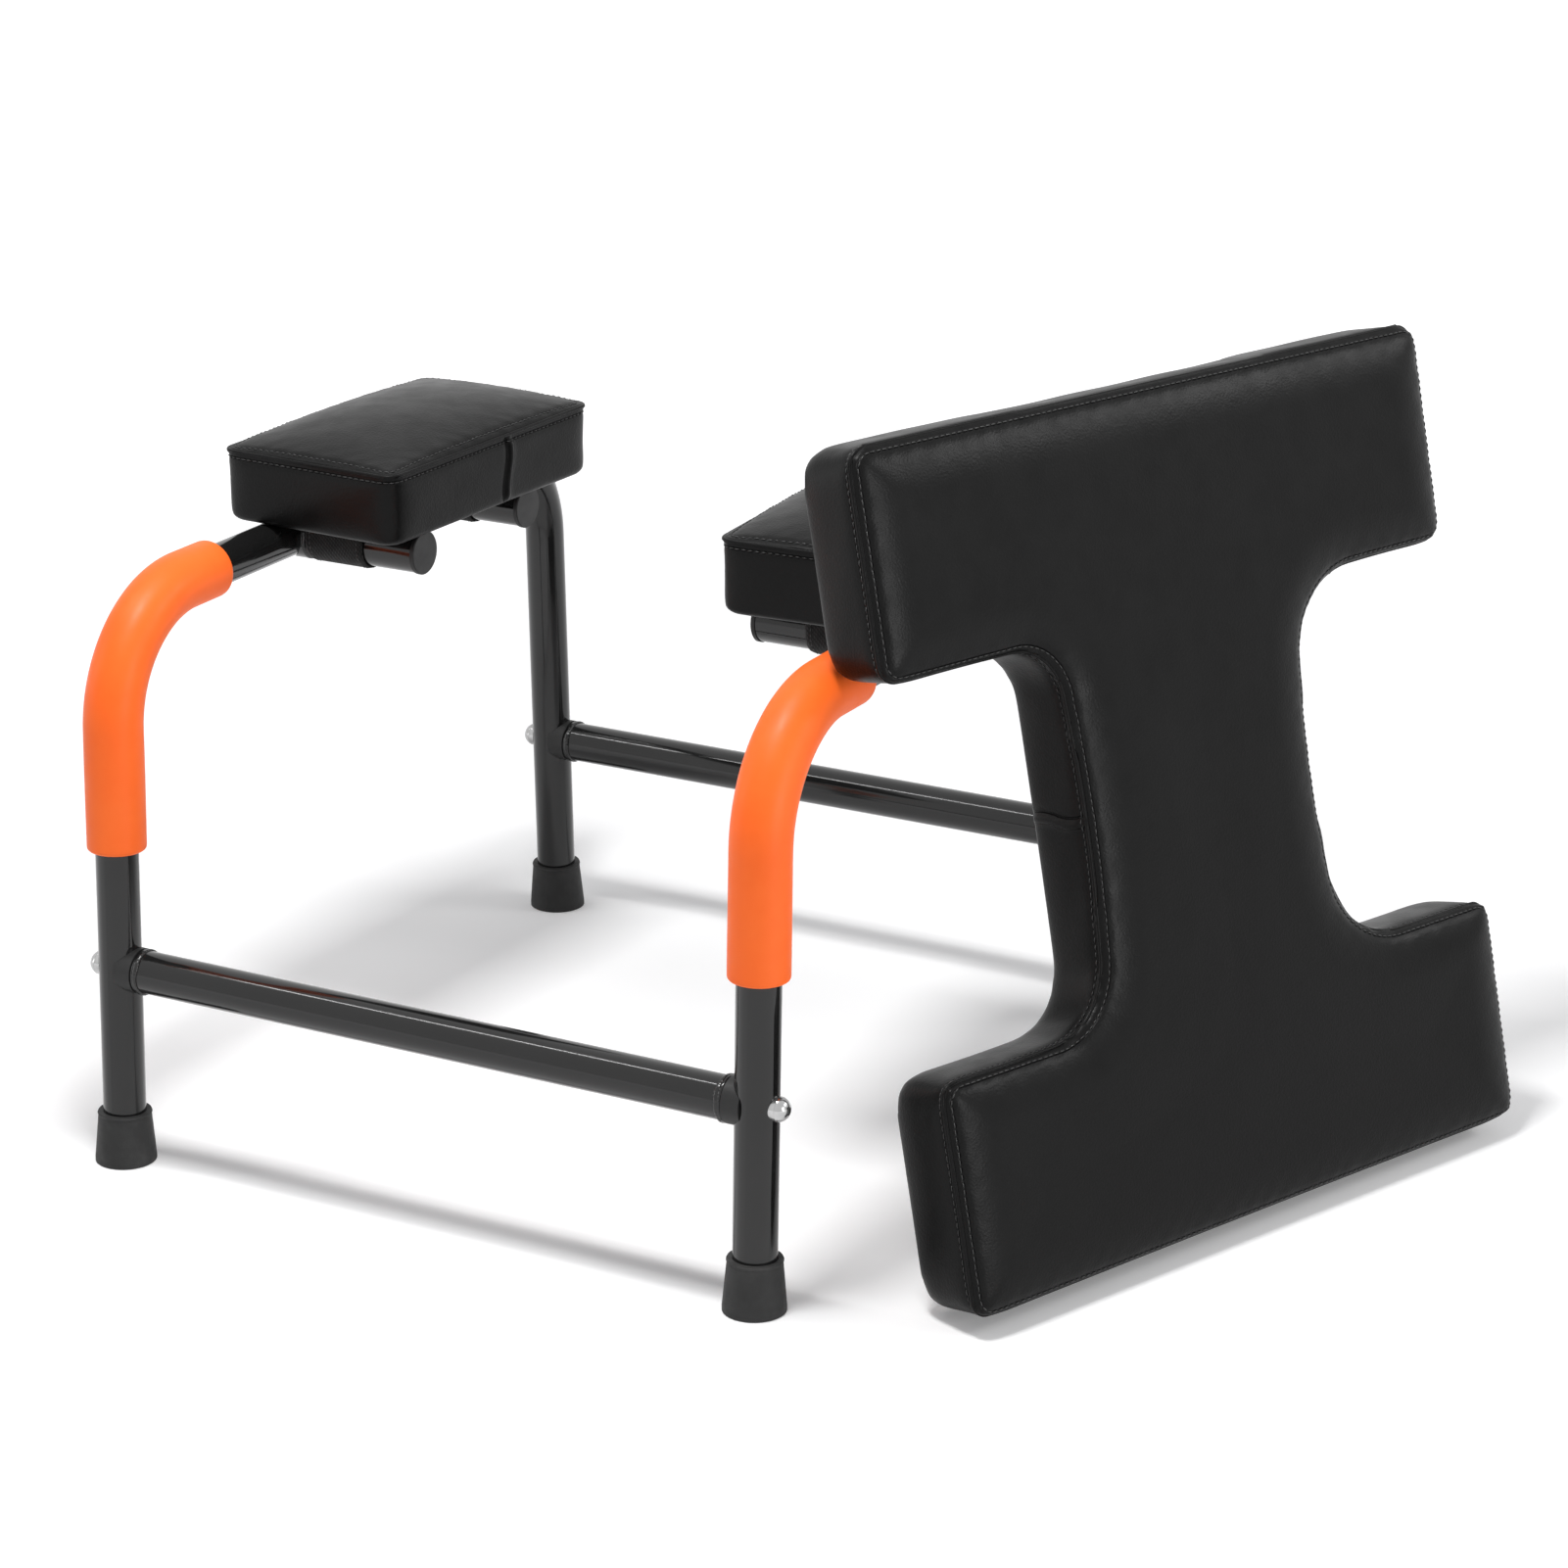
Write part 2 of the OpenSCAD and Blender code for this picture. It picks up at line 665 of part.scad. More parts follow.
module left_side_tube() { color(tube_black) placed() side_tube(-1); }
module right_side_tube() { color(tube_black) placed() side_tube(1); }
module front_left_foot() { color(rubber_black) placed() foot(-1, -1); }
module front_right_foot() { color(rubber_black) placed() foot(1, -1); }
module rear_left_foot() { color(rubber_black) placed() foot(-1, 1); }
module rear_right_foot() { color(rubber_black) placed() foot(1, 1); }
module front_rail() { color(tube_black) placed() rail_tube(-1); }
module rear_rail() { color(tube_black) placed() rail_tube(1); }
module front_left_rail_nut() { color(tube_black) placed() rail_nut(-1, -1); }
module front_right_rail_nut() { color(tube_black) placed() rail_nut(1, -1); }
module rear_left_rail_nut() { color(tube_black) placed() rail_nut(-1, 1); }
module rear_right_rail_nut() { color(tube_black) placed() rail_nut(1, 1); }
module front_left_saddle() { color(cap_black) placed() rail_saddle(-1, -1); }
module front_right_saddle() { color(cap_black) placed() rail_saddle(1, -1); }
module rear_left_saddle() { color(cap_black) placed() rail_saddle(-1, 1); }
module rear_right_saddle() { color(cap_black) placed() rail_saddle(1, 1); }
module front_left_washer() { color(chrome_grey) placed() bolt_washer(-1, -1); }
module front_right_washer() { color(chrome_grey) placed() bolt_washer(1, -1); }
module rear_left_washer() { color(chrome_grey) placed() bolt_washer(-1, 1); }
module rear_right_washer() { color(chrome_grey) placed() bolt_washer(1, 1); }
module front_left_bolt() { color(chrome_grey) placed() rail_bolt(-1, -1); }
module front_right_bolt() { color(chrome_grey) placed() rail_bolt(1, -1); }
module rear_left_bolt() { color(chrome_grey) placed() rail_bolt(-1, 1); }
module rear_right_bolt() { color(chrome_grey) placed() rail_bolt(1, 1); }
module front_left_arm() { color(tube_black) placed() pad_arm(-1, -1); }
module front_right_arm() { color(tube_black) placed() pad_arm(1, -1); }
module rear_left_arm() { color(tube_black) placed() pad_arm(-1, 1); }
module rear_right_arm() { color(tube_black) placed() pad_arm(1, 1); }
module front_left_arm_cap() { color(cap_black) placed() arm_cap(-1, -1); }
module front_right_arm_cap() { color(cap_black) placed() arm_cap(1, -1); }
module rear_left_arm_cap() { color(cap_black) placed() arm_cap(-1, 1); }
module rear_right_arm_cap() { color(cap_black) placed() arm_cap(1, 1); }
module front_left_strap() { color(strap_black) placed() arm_strap(-1, -1); }
module front_right_strap() { color(strap_black) placed() arm_strap(1, -1); }
module rear_left_strap() { color(strap_black) placed() arm_strap(-1, 1); }
module rear_right_strap() { color(strap_black) placed() arm_strap(1, 1); }
module left_grip() { color(grip_orange) placed() grip(-1); }
module right_grip() { color(grip_orange) placed() grip(1); }
module left_pad_cover() { color(vinyl_black) placed() on_pad(-1) shoulder_cover(); }
module left_pad_foam() { color(foam_cream) placed() on_pad(-1) foam_block(pad_outline, pad_t); }
module left_pad_board() { color(board_tan) placed() on_pad(-1) board_sheet(pad_outline); }
module left_pad_backing() { color(strap_black) placed() on_pad(-1) backing_sheet(pad_outline); }
module right_pad_cover() { color(vinyl_black) placed() on_pad(1) shoulder_cover(); }
module right_pad_foam() { color(foam_cream) placed() on_pad(1) foam_block(pad_outline, pad_t); }
module right_pad_board() { color(board_tan) placed() on_pad(1) board_sheet(pad_outline); }
module right_pad_backing() { color(strap_black) placed() on_pad(1) backing_sheet(pad_outline); }
module large_pad_cover() { color(vinyl_black) placed() on_large_pad() large_cover(); }
module large_pad_foam() {
    color(foam_cream) placed() on_large_pad() foam_block(large_outline, large_t);
}
module large_pad_board() { color(board_tan) placed() on_large_pad() board_sheet(large_outline); }
module large_pad_backing() {
    color(strap_black) placed() on_large_pad() backing_sheet(large_outline);
}

left_side_tube();
right_side_tube();
front_left_foot();
front_right_foot();
rear_left_foot();
rear_right_foot();
front_rail();
rear_rail();
front_left_rail_nut();
front_right_rail_nut();
rear_left_rail_nut();
rear_right_rail_nut();
front_left_saddle();
front_right_saddle();
rear_left_saddle();
rear_right_saddle();
front_left_washer();
front_right_washer();
rear_left_washer();
rear_right_washer();
front_left_bolt();
front_right_bolt();
rear_left_bolt();
rear_right_bolt();
front_left_arm();
front_right_arm();
rear_left_arm();
rear_right_arm();
front_left_arm_cap();
front_right_arm_cap();
rear_left_arm_cap();
rear_right_arm_cap();
front_left_strap();
front_right_strap();
rear_left_strap();
rear_right_strap();
left_grip();
right_grip();
left_pad_cover();
left_pad_foam();
left_pad_board();
left_pad_backing();
right_pad_cover();
right_pad_foam();
right_pad_board();
right_pad_backing();
large_pad_cover();
large_pad_foam();
large_pad_board();
large_pad_backing();
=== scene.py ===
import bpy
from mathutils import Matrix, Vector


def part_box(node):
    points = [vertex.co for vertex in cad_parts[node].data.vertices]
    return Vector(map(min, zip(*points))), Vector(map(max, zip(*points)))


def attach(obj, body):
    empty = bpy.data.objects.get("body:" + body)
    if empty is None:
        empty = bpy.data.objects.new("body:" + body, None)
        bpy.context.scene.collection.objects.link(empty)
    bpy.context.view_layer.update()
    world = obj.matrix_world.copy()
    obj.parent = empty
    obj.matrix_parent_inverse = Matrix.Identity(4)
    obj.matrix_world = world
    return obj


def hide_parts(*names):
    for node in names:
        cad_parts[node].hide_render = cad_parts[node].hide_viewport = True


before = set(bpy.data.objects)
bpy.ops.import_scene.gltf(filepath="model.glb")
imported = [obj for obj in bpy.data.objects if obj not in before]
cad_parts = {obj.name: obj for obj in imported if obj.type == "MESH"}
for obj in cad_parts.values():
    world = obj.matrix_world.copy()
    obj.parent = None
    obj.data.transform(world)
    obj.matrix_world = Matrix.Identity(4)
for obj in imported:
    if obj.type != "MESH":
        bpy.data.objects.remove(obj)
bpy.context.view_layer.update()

import math
import random

import bmesh
import bpy
import numpy as np
from mathutils import Vector
from mathutils.bvhtree import BVHTree

MM = 0.001
scene = bpy.context.scene


# Sizes of part.scad in millimetres, in the stool's own frame
HALF_SPAN = 235.5
FRAME_H = 371.0
LEAN = math.radians(1.75)
BEND_R = 81.0
TUBE_R = 14.0
LEG_SPAN = 540.0
GRIP_R = 19.25
GRIP_LOW = 213.0
GRIP_RUN = 30.0
ARM_PITCH = 128.0
ARM_SHIFT = 11.0
PAD_W, PAD_L, PAD_T = 141.0, 230.0, 49.0
PAD_X, PAD_BACK, PAD_TURN = 190.5, 8.0, math.radians(2.9)
PAD_Z = FRAME_H + TUBE_R + 0.3
STRAP_X, STRAP_W, STRAP_T = 18.15, 45.0, 1.8
RAIL_H = 133.0
SADDLE_STAND = 3.5
FIT_GAP = 0.15
HEM_W = 26.0
WAIST_W, NOTCH_D, NOTCH_H = 206.0, 142.0, 237.0
LOW_BAR, TOP_BAR = 150.0, 144.0
LARGE_T = 50.0
LARGE_W = WAIST_W + 2 * NOTCH_D
LARGE_H = NOTCH_H + LOW_BAR + TOP_BAR

# Turn and lean of the large pad, and where the lower left corner of its back stands
LEAN_TURN, LEAN_BACK = math.radians(69.6), math.radians(13.1)
LEAN_ORIGIN = np.array([329.336, -232.371, 0.3])

# Look of the sewing: seam corners, notch corners, stitch rows, channels and rib
SEAM_R, PAD_SEAM_R = 13.0, 11.0
NOTCH_R, NEAR_TOP_R, NEAR_LOW_R = 54.0, 35.0, 46.0
WAIST_BOW = 3.5
FACE_STITCH, BAND_STITCH, JOIN_STITCH = 5.2, 5.6, 7.5
STITCH_PITCH = 4.6
CHANNEL_DEPTH = 0.55
RIB_R, RIB_SUNK = 1.15, 0.45
EDGE_R = 3.0
LARGE_CROWN, PAD_CROWN = 8.5, 15.0
# Marks a vertex as far from every band join, or as part of the back
FAR_OFF, BACK_OFF = 1000.0, -40.0

# How far the stool's middle stands off the frame's origin, taken from the two side tubes
left_box, right_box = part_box("left_side_tube"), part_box("right_side_tube")
SHIFT = np.array([sum(b[i][0] for b in (left_box, right_box) for i in (0, 1)) / 4 / MM, 0.0, 0.0])

OUT = np.array([math.sin(LEAN_TURN), -math.cos(LEAN_TURN), 0.0])
ALONG = np.array([math.cos(LEAN_TURN), math.sin(LEAN_TURN), 0.0])
FACE = OUT * math.cos(LEAN_BACK) + np.array([0, 0, math.sin(LEAN_BACK)])
UPWARD = -OUT * math.sin(LEAN_BACK) + np.array([0, 0, math.cos(LEAN_BACK)])


class Place:
    """Brings local millimetres to the part's frame in metres."""

    def __init__(self, origin, x, y, z):
        self.origin = np.array(origin, float) + SHIFT
        self.turn = np.array([x, y, z], float)

    def out(self, points):
        return (np.asarray(points, float) @ self.turn + self.origin) * MM


def arm_y(side, end):
    """Where an arm stands along the stool; side and end are -1 or 1."""
    return -side * ARM_SHIFT + end * ARM_PITCH / 2


def pad_place(side):
    c, s = math.cos(side * PAD_TURN), math.sin(side * PAD_TURN)
    origin = [side * PAD_X, PAD_BACK - side * ARM_SHIFT, PAD_Z]
    return Place(origin, [c, s, 0], [-s, c, 0], [0, 0, 1])


LARGE_PLACE = Place(LEAN_ORIGIN, ALONG, UPWARD, FACE)
STOOL = Place([0, 0, 0], [1, 0, 0], [0, 1, 0], [0, 0, 1])
LEGS = [
    (side, end, "%s_%s" % (row, flank))
    for side, flank in ((-1, "left"), (1, "right"))
    for end, row in ((-1, "front"), (1, "rear"))
]


# Shader nodes
SHINE = "Specular IOR Level"


def new_material(name, settings=()):
    """A Principled material, with inputs of its shader set."""
    m = bpy.data.materials.new(name)
    m.use_nodes = True
    nt = m.node_tree
    b = nt.nodes["Principled BSDF"]
    for key, value in dict(settings).items():
        b.inputs[key].default_value = value
    return m, nt, b


def node(nt, kind, **values):
    n = nt.nodes.new(kind)
    for key, value in values.items():
        if key in n.inputs:
            n.inputs[key].default_value = value
        else:
            setattr(n, key, value)
    return n


def coords(nt, stretch=(1, 1, 1)):
    tc = node(nt, "ShaderNodeTexCoord")
    mp = node(nt, "ShaderNodeMapping", Scale=stretch)
    nt.links.new(tc.outputs["Object"], mp.inputs["Vector"])
    return mp.outputs["Vector"]


def noise(nt, where, scale, detail=4.0, rough=0.55):
    n = node(nt, "ShaderNodeTexNoise", Scale=scale, Detail=detail, Roughness=rough)
    nt.links.new(where, n.inputs["Vector"])
    return n.outputs["Fac"]


def cells(nt, where, scale, feature="F1"):
    n = node(nt, "ShaderNodeTexVoronoi", feature=feature, Scale=scale)
    nt.links.new(where, n.inputs["Vector"])
    return n.outputs["Distance"]


def wave(nt, where, scale, direction):
    n = node(nt, "ShaderNodeTexWave", Scale=scale, Distortion=0.6)
    n.bands_direction = direction
    nt.links.new(where, n.inputs["Vector"])
    return n.outputs["Fac"]


def link_or_set(nt, socket, value):
    """Links an output to a socket, or sets the socket to a plain value."""
    if isinstance(value, bpy.types.NodeSocket):
        nt.links.new(value, socket)
    else:
        socket.default_value = value


def math_node(nt, kind, a, b=None, clamp=False):
    n = node(nt, "ShaderNodeMath", operation=kind, use_clamp=clamp)
    for i, v in enumerate((a, b)):
        if v is not None:
            link_or_set(nt, n.inputs[i], v)
    return n.outputs[0]


def mix_colour(nt, fac, low, high):
    """Colour between low, where fac is 0, and high, where it is 1."""
    n = node(nt, "ShaderNodeMix", data_type="RGBA")
    nt.links.new(fac, n.inputs["Factor"])
    # The mix node has one pair of inputs for each data type: 6 and 7 are its colours
    link_or_set(nt, n.inputs[6], low)
    link_or_set(nt, n.inputs[7], high)
    return n.outputs[2]


def ramp(nt, fac, stops):
    n = node(nt, "ShaderNodeValToRGB")
    e = n.color_ramp.elements
    while len(e) < len(stops):
        e.new(0.5)
    for slot, (at, colour) in zip(e, stops):
        slot.position = at
        slot.color = (*colour, 1)
    nt.links.new(fac, n.inputs["Fac"])
    return n.outputs["Color"]


def spread(nt, fac, low, high, to_low, to_high):
    """Takes fac smoothly from the range low to high into the range to_low to to_high."""
    n = node(nt, "ShaderNodeMapRange")
    n.interpolation_type = "SMOOTHSTEP"
    for key, v in (("From Min", low), ("From Max", high), ("To Min", to_low), ("To Max", to_high)):
        n.inputs[key].default_value = v
    nt.links.new(fac, n.inputs["Value"])
    return n.outputs["Result"]


def bump(nt, height, strength, distance, under=None):
    n = node(nt, "ShaderNodeBump", Strength=strength, Distance=distance)
    nt.links.new(height, n.inputs["Height"])
    if under is not None:
        nt.links.new(under, n.inputs["Normal"])
    return n.outputs["Normal"]


def grey(v, warm=0.0):
    return (v * (1 + warm), v, v * (1 - warm))


def tone(nt, b, fac, low, high, stops=(0.3, 0.7)):
    """Base colour mixed by fac between two colours."""
    nt.links.new(ramp(nt, fac, list(zip(stops, (low, high)))), b.inputs["Base Color"])


def wear(nt, b, fac, low, high):
    """Roughness mixed by fac between two values."""
    nt.links.new(spread(nt, fac, 0.3, 0.7, low, high), b.inputs["Roughness"])


def relief(nt, b, normal):
    nt.links.new(normal, b.inputs["Normal"])


# Materials
def gloss_tube():
    shine = {SHINE: 0.32, "Coat Weight": 0.25, "Coat Roughness": 0.05}
    m, nt, b = new_material("tube_gloss_black", shine)
    at = coords(nt)
    tone(nt, b, noise(nt, at, 9, 3), grey(0.0075), grey(0.0105))
    wear(nt, b, noise(nt, at, 30, 3), 0.10, 0.15)
    # The orange peel of sprayed paint, too shallow to break a reflection up
    relief(nt, b, bump(nt, noise(nt, at, 260, 1), 0.02, 0.0002))
    return m


def matte_cap():
    m, nt, b = new_material("cap_moulded_black", {SHINE: 0.3})
    at = coords(nt)
    tone(nt, b, noise(nt, at, 22, 3), grey(0.014), grey(0.019))
    wear(nt, b, noise(nt, at, 90, 3), 0.42, 0.52)
    fine = bump(nt, noise(nt, at, 1500, 3), 0.35, 0.0002)
    relief(nt, b, bump(nt, noise(nt, at, 60, 3), 0.15, 0.0006, fine))
    return m


def foot_rubber():
    m, nt, b = new_material("foot_rubber", {SHINE: 0.3})
    at = coords(nt)
    dust = spread(nt, noise(nt, at, 35, 6), 0.45, 0.75, 0.0, 1.0)
    tone(nt, b, dust, grey(0.022), grey(0.038, 0.02), (0.0, 1.0))
    wear(nt, b, noise(nt, at, 120, 4), 0.58, 0.72)
    relief(nt, b, bump(nt, noise(nt, at, 1100, 3), 0.4, 0.0003))
    return m


def chrome():
    m, nt, b = new_material("bolt_chrome", {"Metallic": 1.0})
    at = coords(nt)
    tone(nt, b, noise(nt, at, 160, 4), grey(0.40), grey(0.52))
    wear(nt, b, noise(nt, at, 300, 4), 0.12, 0.24)
    relief(nt, b, bump(nt, noise(nt, at, 900, 2), 0.1, 0.0002))
    return m


def grip_foam():
    m, nt, b = new_material("grip_foam_orange", {SHINE: 0.22})
    at = coords(nt)
    deep, bright = (0.98, 0.140, 0.016), (1.0, 0.165, 0.024)
    tone(nt, b, noise(nt, at, 26, 4), deep, bright, (0.25, 0.75))
    wear(nt, b, noise(nt, at, 80, 3), 0.40, 0.48)
    pores = bump(nt, cells(nt, at, 1500), 0.12, 0.0002)
    relief(nt, b, bump(nt, noise(nt, at, 55, 3), 0.12, 0.0008, pores))
    return m


# Each line beside a seam or a join: its distance there, half width and depth; the depth also sets how much
# shade is painted into the line
SEWN_LINES = (
    ("seam_mm", 0.0, 0.9, 1.0),
    ("seam_mm", FACE_STITCH, 1.0, 0.75),
    ("seam_mm", -BAND_STITCH, 1.1, 0.9),
    ("join_mm", 0.0, 1.0, 1.0),
    ("join_mm", JOIN_STITCH, 0.9, 0.6),
)


def sewn_lines(nt, colour, under):
    """Dents the sewn lines and paints shade into them: the new colour and normal."""
    height, painted_shade = 0.0, 0.0
    for named, place, half, deep in SEWN_LINES:
        line = node(nt, "ShaderNodeAttribute", attribute_name=named).outputs["Fac"]
        off = math_node(nt, "ABSOLUTE", math_node(nt, "SUBTRACT", line, place))
        height = math_node(nt, "ADD", height, spread(nt, off, 0.0, half, deep, 0.0))
        # Painted shade, darkest in the middle of each dented line and narrower than the dent
        painted_shade = math_node(nt, "ADD", painted_shade, spread(nt, off, 0.0, half * 0.7, deep, 0.0))
    low = math_node(nt, "MULTIPLY", height, -1.0)
    share = math_node(nt, "MULTIPLY", painted_shade, 0.75, True)
    # The painted shade takes the vinyl's colour towards near black along the dented lines
    return mix_colour(nt, share, colour, (*grey(0.002), 1)), bump(nt, low, 0.9, 0.0009, under)


def vinyl(name="vinyl_black", seams=True):
    """Coated upholstery: pebble grain, soft unevenness, and the dented lines beside its seams, with shade
    painted into them.
    """
    m, nt, b = new_material(name, {SHINE: 0.12})
    at = coords(nt)
    colour = ramp(nt, noise(nt, at, 9, 4), [(0.3, grey(0.0026)), (0.7, grey(0.0038))])
    wear(nt, b, noise(nt, at, 45, 5), 0.33, 0.40)
    grain = bump(nt, cells(nt, at, 720, "SMOOTH_F1"), 0.32, 0.00035)
    normal = bump(nt, noise(nt, at, 70, 3), 0.10, 0.0012, grain)
    if seams:
        colour, normal = sewn_lines(nt, colour, normal)
    nt.links.new(colour, b.inputs["Base Color"])
    relief(nt, b, normal)
    return m


def thread():
    m, nt, b = new_material("thread_black")
    at = coords(nt)
    tone(nt, b, noise(nt, at, 900, 2), grey(0.012), grey(0.03))
    wear(nt, b, noise(nt, at, 1400, 2), 0.35, 0.55)
    relief(nt, b, bump(nt, noise(nt, at, 2500, 2), 0.5, 0.0002))
    return m


def webbing():
    m, nt, b = new_material("webbing_black", {SHINE: 0.2, "Sheen Weight": 0.08})
    at = coords(nt)
    weave = math_node(nt, "MULTIPLY", wave(nt, at, 260.0, "X"), wave(nt, at, 210.0, "DIAGONAL"))
    tone(nt, b, weave, grey(0.006), grey(0.02), (0.1, 0.8))
    wear(nt, b, noise(nt, at, 200, 3), 0.7, 0.85)
    relief(nt, b, bump(nt, weave, 0.5, 0.0005))
    return m


def weld():
    m, nt, b = new_material("weld_painted", {SHINE: 0.45})
    at = coords(nt)
    tone(nt, b, noise(nt, at, 120, 4), grey(0.008), grey(0.012))
    wear(nt, b, noise(nt, at, 200, 4), 0.14, 0.24)
    relief(nt, b, bump(nt, noise(nt, at, 300, 3), 0.3, 0.0006))
    return m


def plywood():
    m, nt, b = new_material("board_plywood")
    grain = noise(nt, coords(nt, (1, 14, 14)), 9, 6)
    tone(nt, b, grain, (0.42, 0.27, 0.14), (0.62, 0.45, 0.27))
    wear(nt, b, grain, 0.6, 0.75)
    relief(nt, b, bump(nt, grain, 0.3, 0.0004))
    return m


def staple_steel():
    m, nt, b = new_material("staple_steel", {"Metallic": 1.0})
    at = coords(nt)
    tone(nt, b, noise(nt, at, 500, 3), grey(0.45), grey(0.6))
    wear(nt, b, noise(nt, at, 700, 3), 0.3, 0.45)
    return m


TUBE, CAP, RUBBER, CHROME = gloss_tube(), matte_cap(), foot_rubber(), chrome()
GRIP, VINYL, PIPING, THREAD = grip_foam(), vinyl(), vinyl("vinyl_rib", False), thread()
WEBBING, WELD, PLY, STAPLE = webbing(), weld(), plywood(), staple_steel()


# Meshes
def build(name, verts, faces, material, body="stool", smooth=True):
    """A mesh piece in metres, riding on a body."""
    me = bpy.data.meshes.new(name)
    me.from_pydata([tuple(map(float, v)) for v in verts], [], faces)
    me.update()
    bm = bmesh.new()
    bm.from_mesh(me)
    bmesh.ops.recalc_face_normals(bm, faces=bm.faces)
    bm.to_mesh(me)
    bm.free()
    if smooth:
        me.polygons.foreach_set("use_smooth", [True] * len(me.polygons))
    ob = bpy.data.objects.new(name, me)
    scene.collection.objects.link(ob)
    me.materials.append(material)
    if body:
        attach(ob, body)
    return ob


def unit(rows):
    """Each row brought to length 1."""
    return rows / (np.linalg.norm(rows, axis=-1, keepdims=True) + 1e-12)


def quads(rings, count, base=0, closed=False):
    """Faces between neighbouring rings of count points each."""
    faces = []
    for i in range(rings if closed else rings - 1):
        here, there = base + i * count, base + (i + 1) % rings * count
        for k in range(count):
            m = (k + 1) % count
            faces.append([here + k, here + m, there + m, there + k])
    return faces


def tube_along(points, radius, sides=10, closed=True, verts=None, faces=None, normals=None):
    """Adds a round tube along points, to the lists it is given; millimetres in, millimetres out."""
    verts = [] if verts is None else verts
    faces = [] if faces is None else faces
    p = np.asarray(points, float)
    n = len(p)
    if closed:
        t = unit(np.roll(p, -1, 0) - np.roll(p, 1, 0))
    else:
        t = unit(np.gradient(p, axis=0))
    if normals is None:
        ref = np.array([0, 0, 1.0]) if abs(t[0][2]) < 0.9 else np.array([1.0, 0, 0])
        u = unit(np.cross(t, ref))
    else:
        u = np.asarray(normals, float)
        u = unit(u - (u * t).sum(1)[:, None] * t)
    w = np.cross(t, u)
    r = np.broadcast_to(np.asarray(radius, float), (n,))
    base = len(verts)
    for i in range(n):
        for k in range(sides):
            a = 2 * math.pi * k / sides
            verts.append(p[i] + r[i] * (u[i] * math.cos(a) + w[i] * math.sin(a)))
    faces.extend(quads(n, sides, base, closed))
    if not closed:
        faces.append([base + k for k in range(sides)][::-1])
        faces.append([base + (n - 1) * sides + k for k in range(sides)])
    return verts, faces


# Outlines: each corner has its place, its seam radius, what the back adds to that radius,
# and how far the side after it bows in
PAD_CORNERS = [
    ((x * PAD_W / 2, y * PAD_L / 2), PAD_SEAM_R, 2, 0)
    for x, y in ((-1, -1), (1, -1), (1, 1), (-1, 1))
]
LARGE_CORNERS = [
    ((0, 0), SEAM_R, 8, 0),
    ((LARGE_W, 0), SEAM_R, 8, 0),
    ((LARGE_W, LOW_BAR), SEAM_R, 8, 0),
    ((LARGE_W - NOTCH_D, LOW_BAR), NOTCH_R, -16, WAIST_BOW),
    ((LARGE_W - NOTCH_D, LARGE_H - TOP_BAR), NOTCH_R, -16, 0),
    ((LARGE_W, LARGE_H - TOP_BAR), SEAM_R, 8, 0),
    ((LARGE_W, LARGE_H), SEAM_R, 8, 0),
    ((0, LARGE_H), SEAM_R, 8, 0),
    ((0, LARGE_H - TOP_BAR), SEAM_R, 8, 0),
    ((NOTCH_D, LARGE_H - TOP_BAR), NEAR_TOP_R, 4, WAIST_BOW),
    ((NOTCH_D, LOW_BAR), NEAR_LOW_R, -8, 0),
    ((0, LOW_BAR), SEAM_R, 8, 0),
]


def left_of(way):
    return np.array([-way[1], way[0]])


def corner_arc(corner, a, b, inset, back):
    """Moved corner, its radius, and 1 where it bulges or -1 where it is a notch's."""
    bulges = a[0] * b[1] - a[1] * b[0] > 0
    r = max(corner[1] - inset * 0.6, 2.0) if bulges else corner[1] + inset
    r += corner[2] * back
    q = np.array(corner[0], float) + (left_of(a) + left_of(b)) * inset
    return q, r, (1.0 if bulges else -1.0)


def outline(corners, inset=0.0, back=0.0, draw=0.0, arc=14, run=22):
    """Rounded outline moved in by inset: points and their outward directions."""
    points, outs = [], []
    n = len(corners)
    at = [np.array(corner[0], float) for corner in corners]
    steps = [at[(i + 1) % n] - at[i] for i in range(n)]
    ways = [step / np.linalg.norm(step) for step in steps]
    for i in range(n):
        a, b, c = ways[i - 1], ways[i], ways[(i + 1) % n]
        q, r, sign = corner_arc(corners[i], a, b, inset, back)
        mid = q + (b - a) * r
        for k in range(arc + 1):
            t = math.pi / 2 * k / arc
            way = a * math.sin(t) - b * math.cos(t)
            points.append(mid + way * r)
            outs.append(way * sign)
        q2, r2, _ = corner_arc(corners[(i + 1) % n], b, c, inset, back)
        start, stop = q + b * r, q2 - b * r2
        depth = draw + corners[i][3] * (1 - back)
        for k in range(1, run):
            s = k / run
            points.append(start + (stop - start) * s + left_of(b) * depth * 4 * s * (1 - s))
            outs.append(-left_of(b))
    return np.array(points), np.array(outs)


def signed_distance(points, loop):
    """Distance to a closed loop in its plane, positive inside."""
    a = loop
    b = np.roll(loop, -1, 0)
    d = b - a
    dd = (d * d).sum(1) + 1e-12
    best = np.full(len(points), 1e9)
    inside = np.zeros(len(points), bool)
    for k in range(len(a)):
        ap = points - a[k]
        t = np.clip((ap @ d[k]) / dd[k], 0, 1)
        best = np.minimum(best, np.hypot(ap[:, 0] - t * d[k][0], ap[:, 1] - t * d[k][1]))
        crosses = (a[k][1] > points[:, 1]) != (b[k][1] > points[:, 1])
        if abs(d[k][1]) > 1e-12:
            x = a[k][0] + (points[:, 1] - a[k][1]) * d[k][0] / d[k][1]
            inside ^= crosses & (points[:, 0] < x)
    return np.where(inside, best, -best)


def lengths(points):
    """Distance of each point from the first, along the points."""
    return np.concatenate([[0], np.cumsum(np.linalg.norm(np.diff(points, axis=0), axis=1))])


def points_at(points, where):
    """Points of a line at the given distances along it."""
    s = lengths(points)
    return np.stack([np.interp(where, s, points[:, k]) for k in range(points.shape[1])], -1)


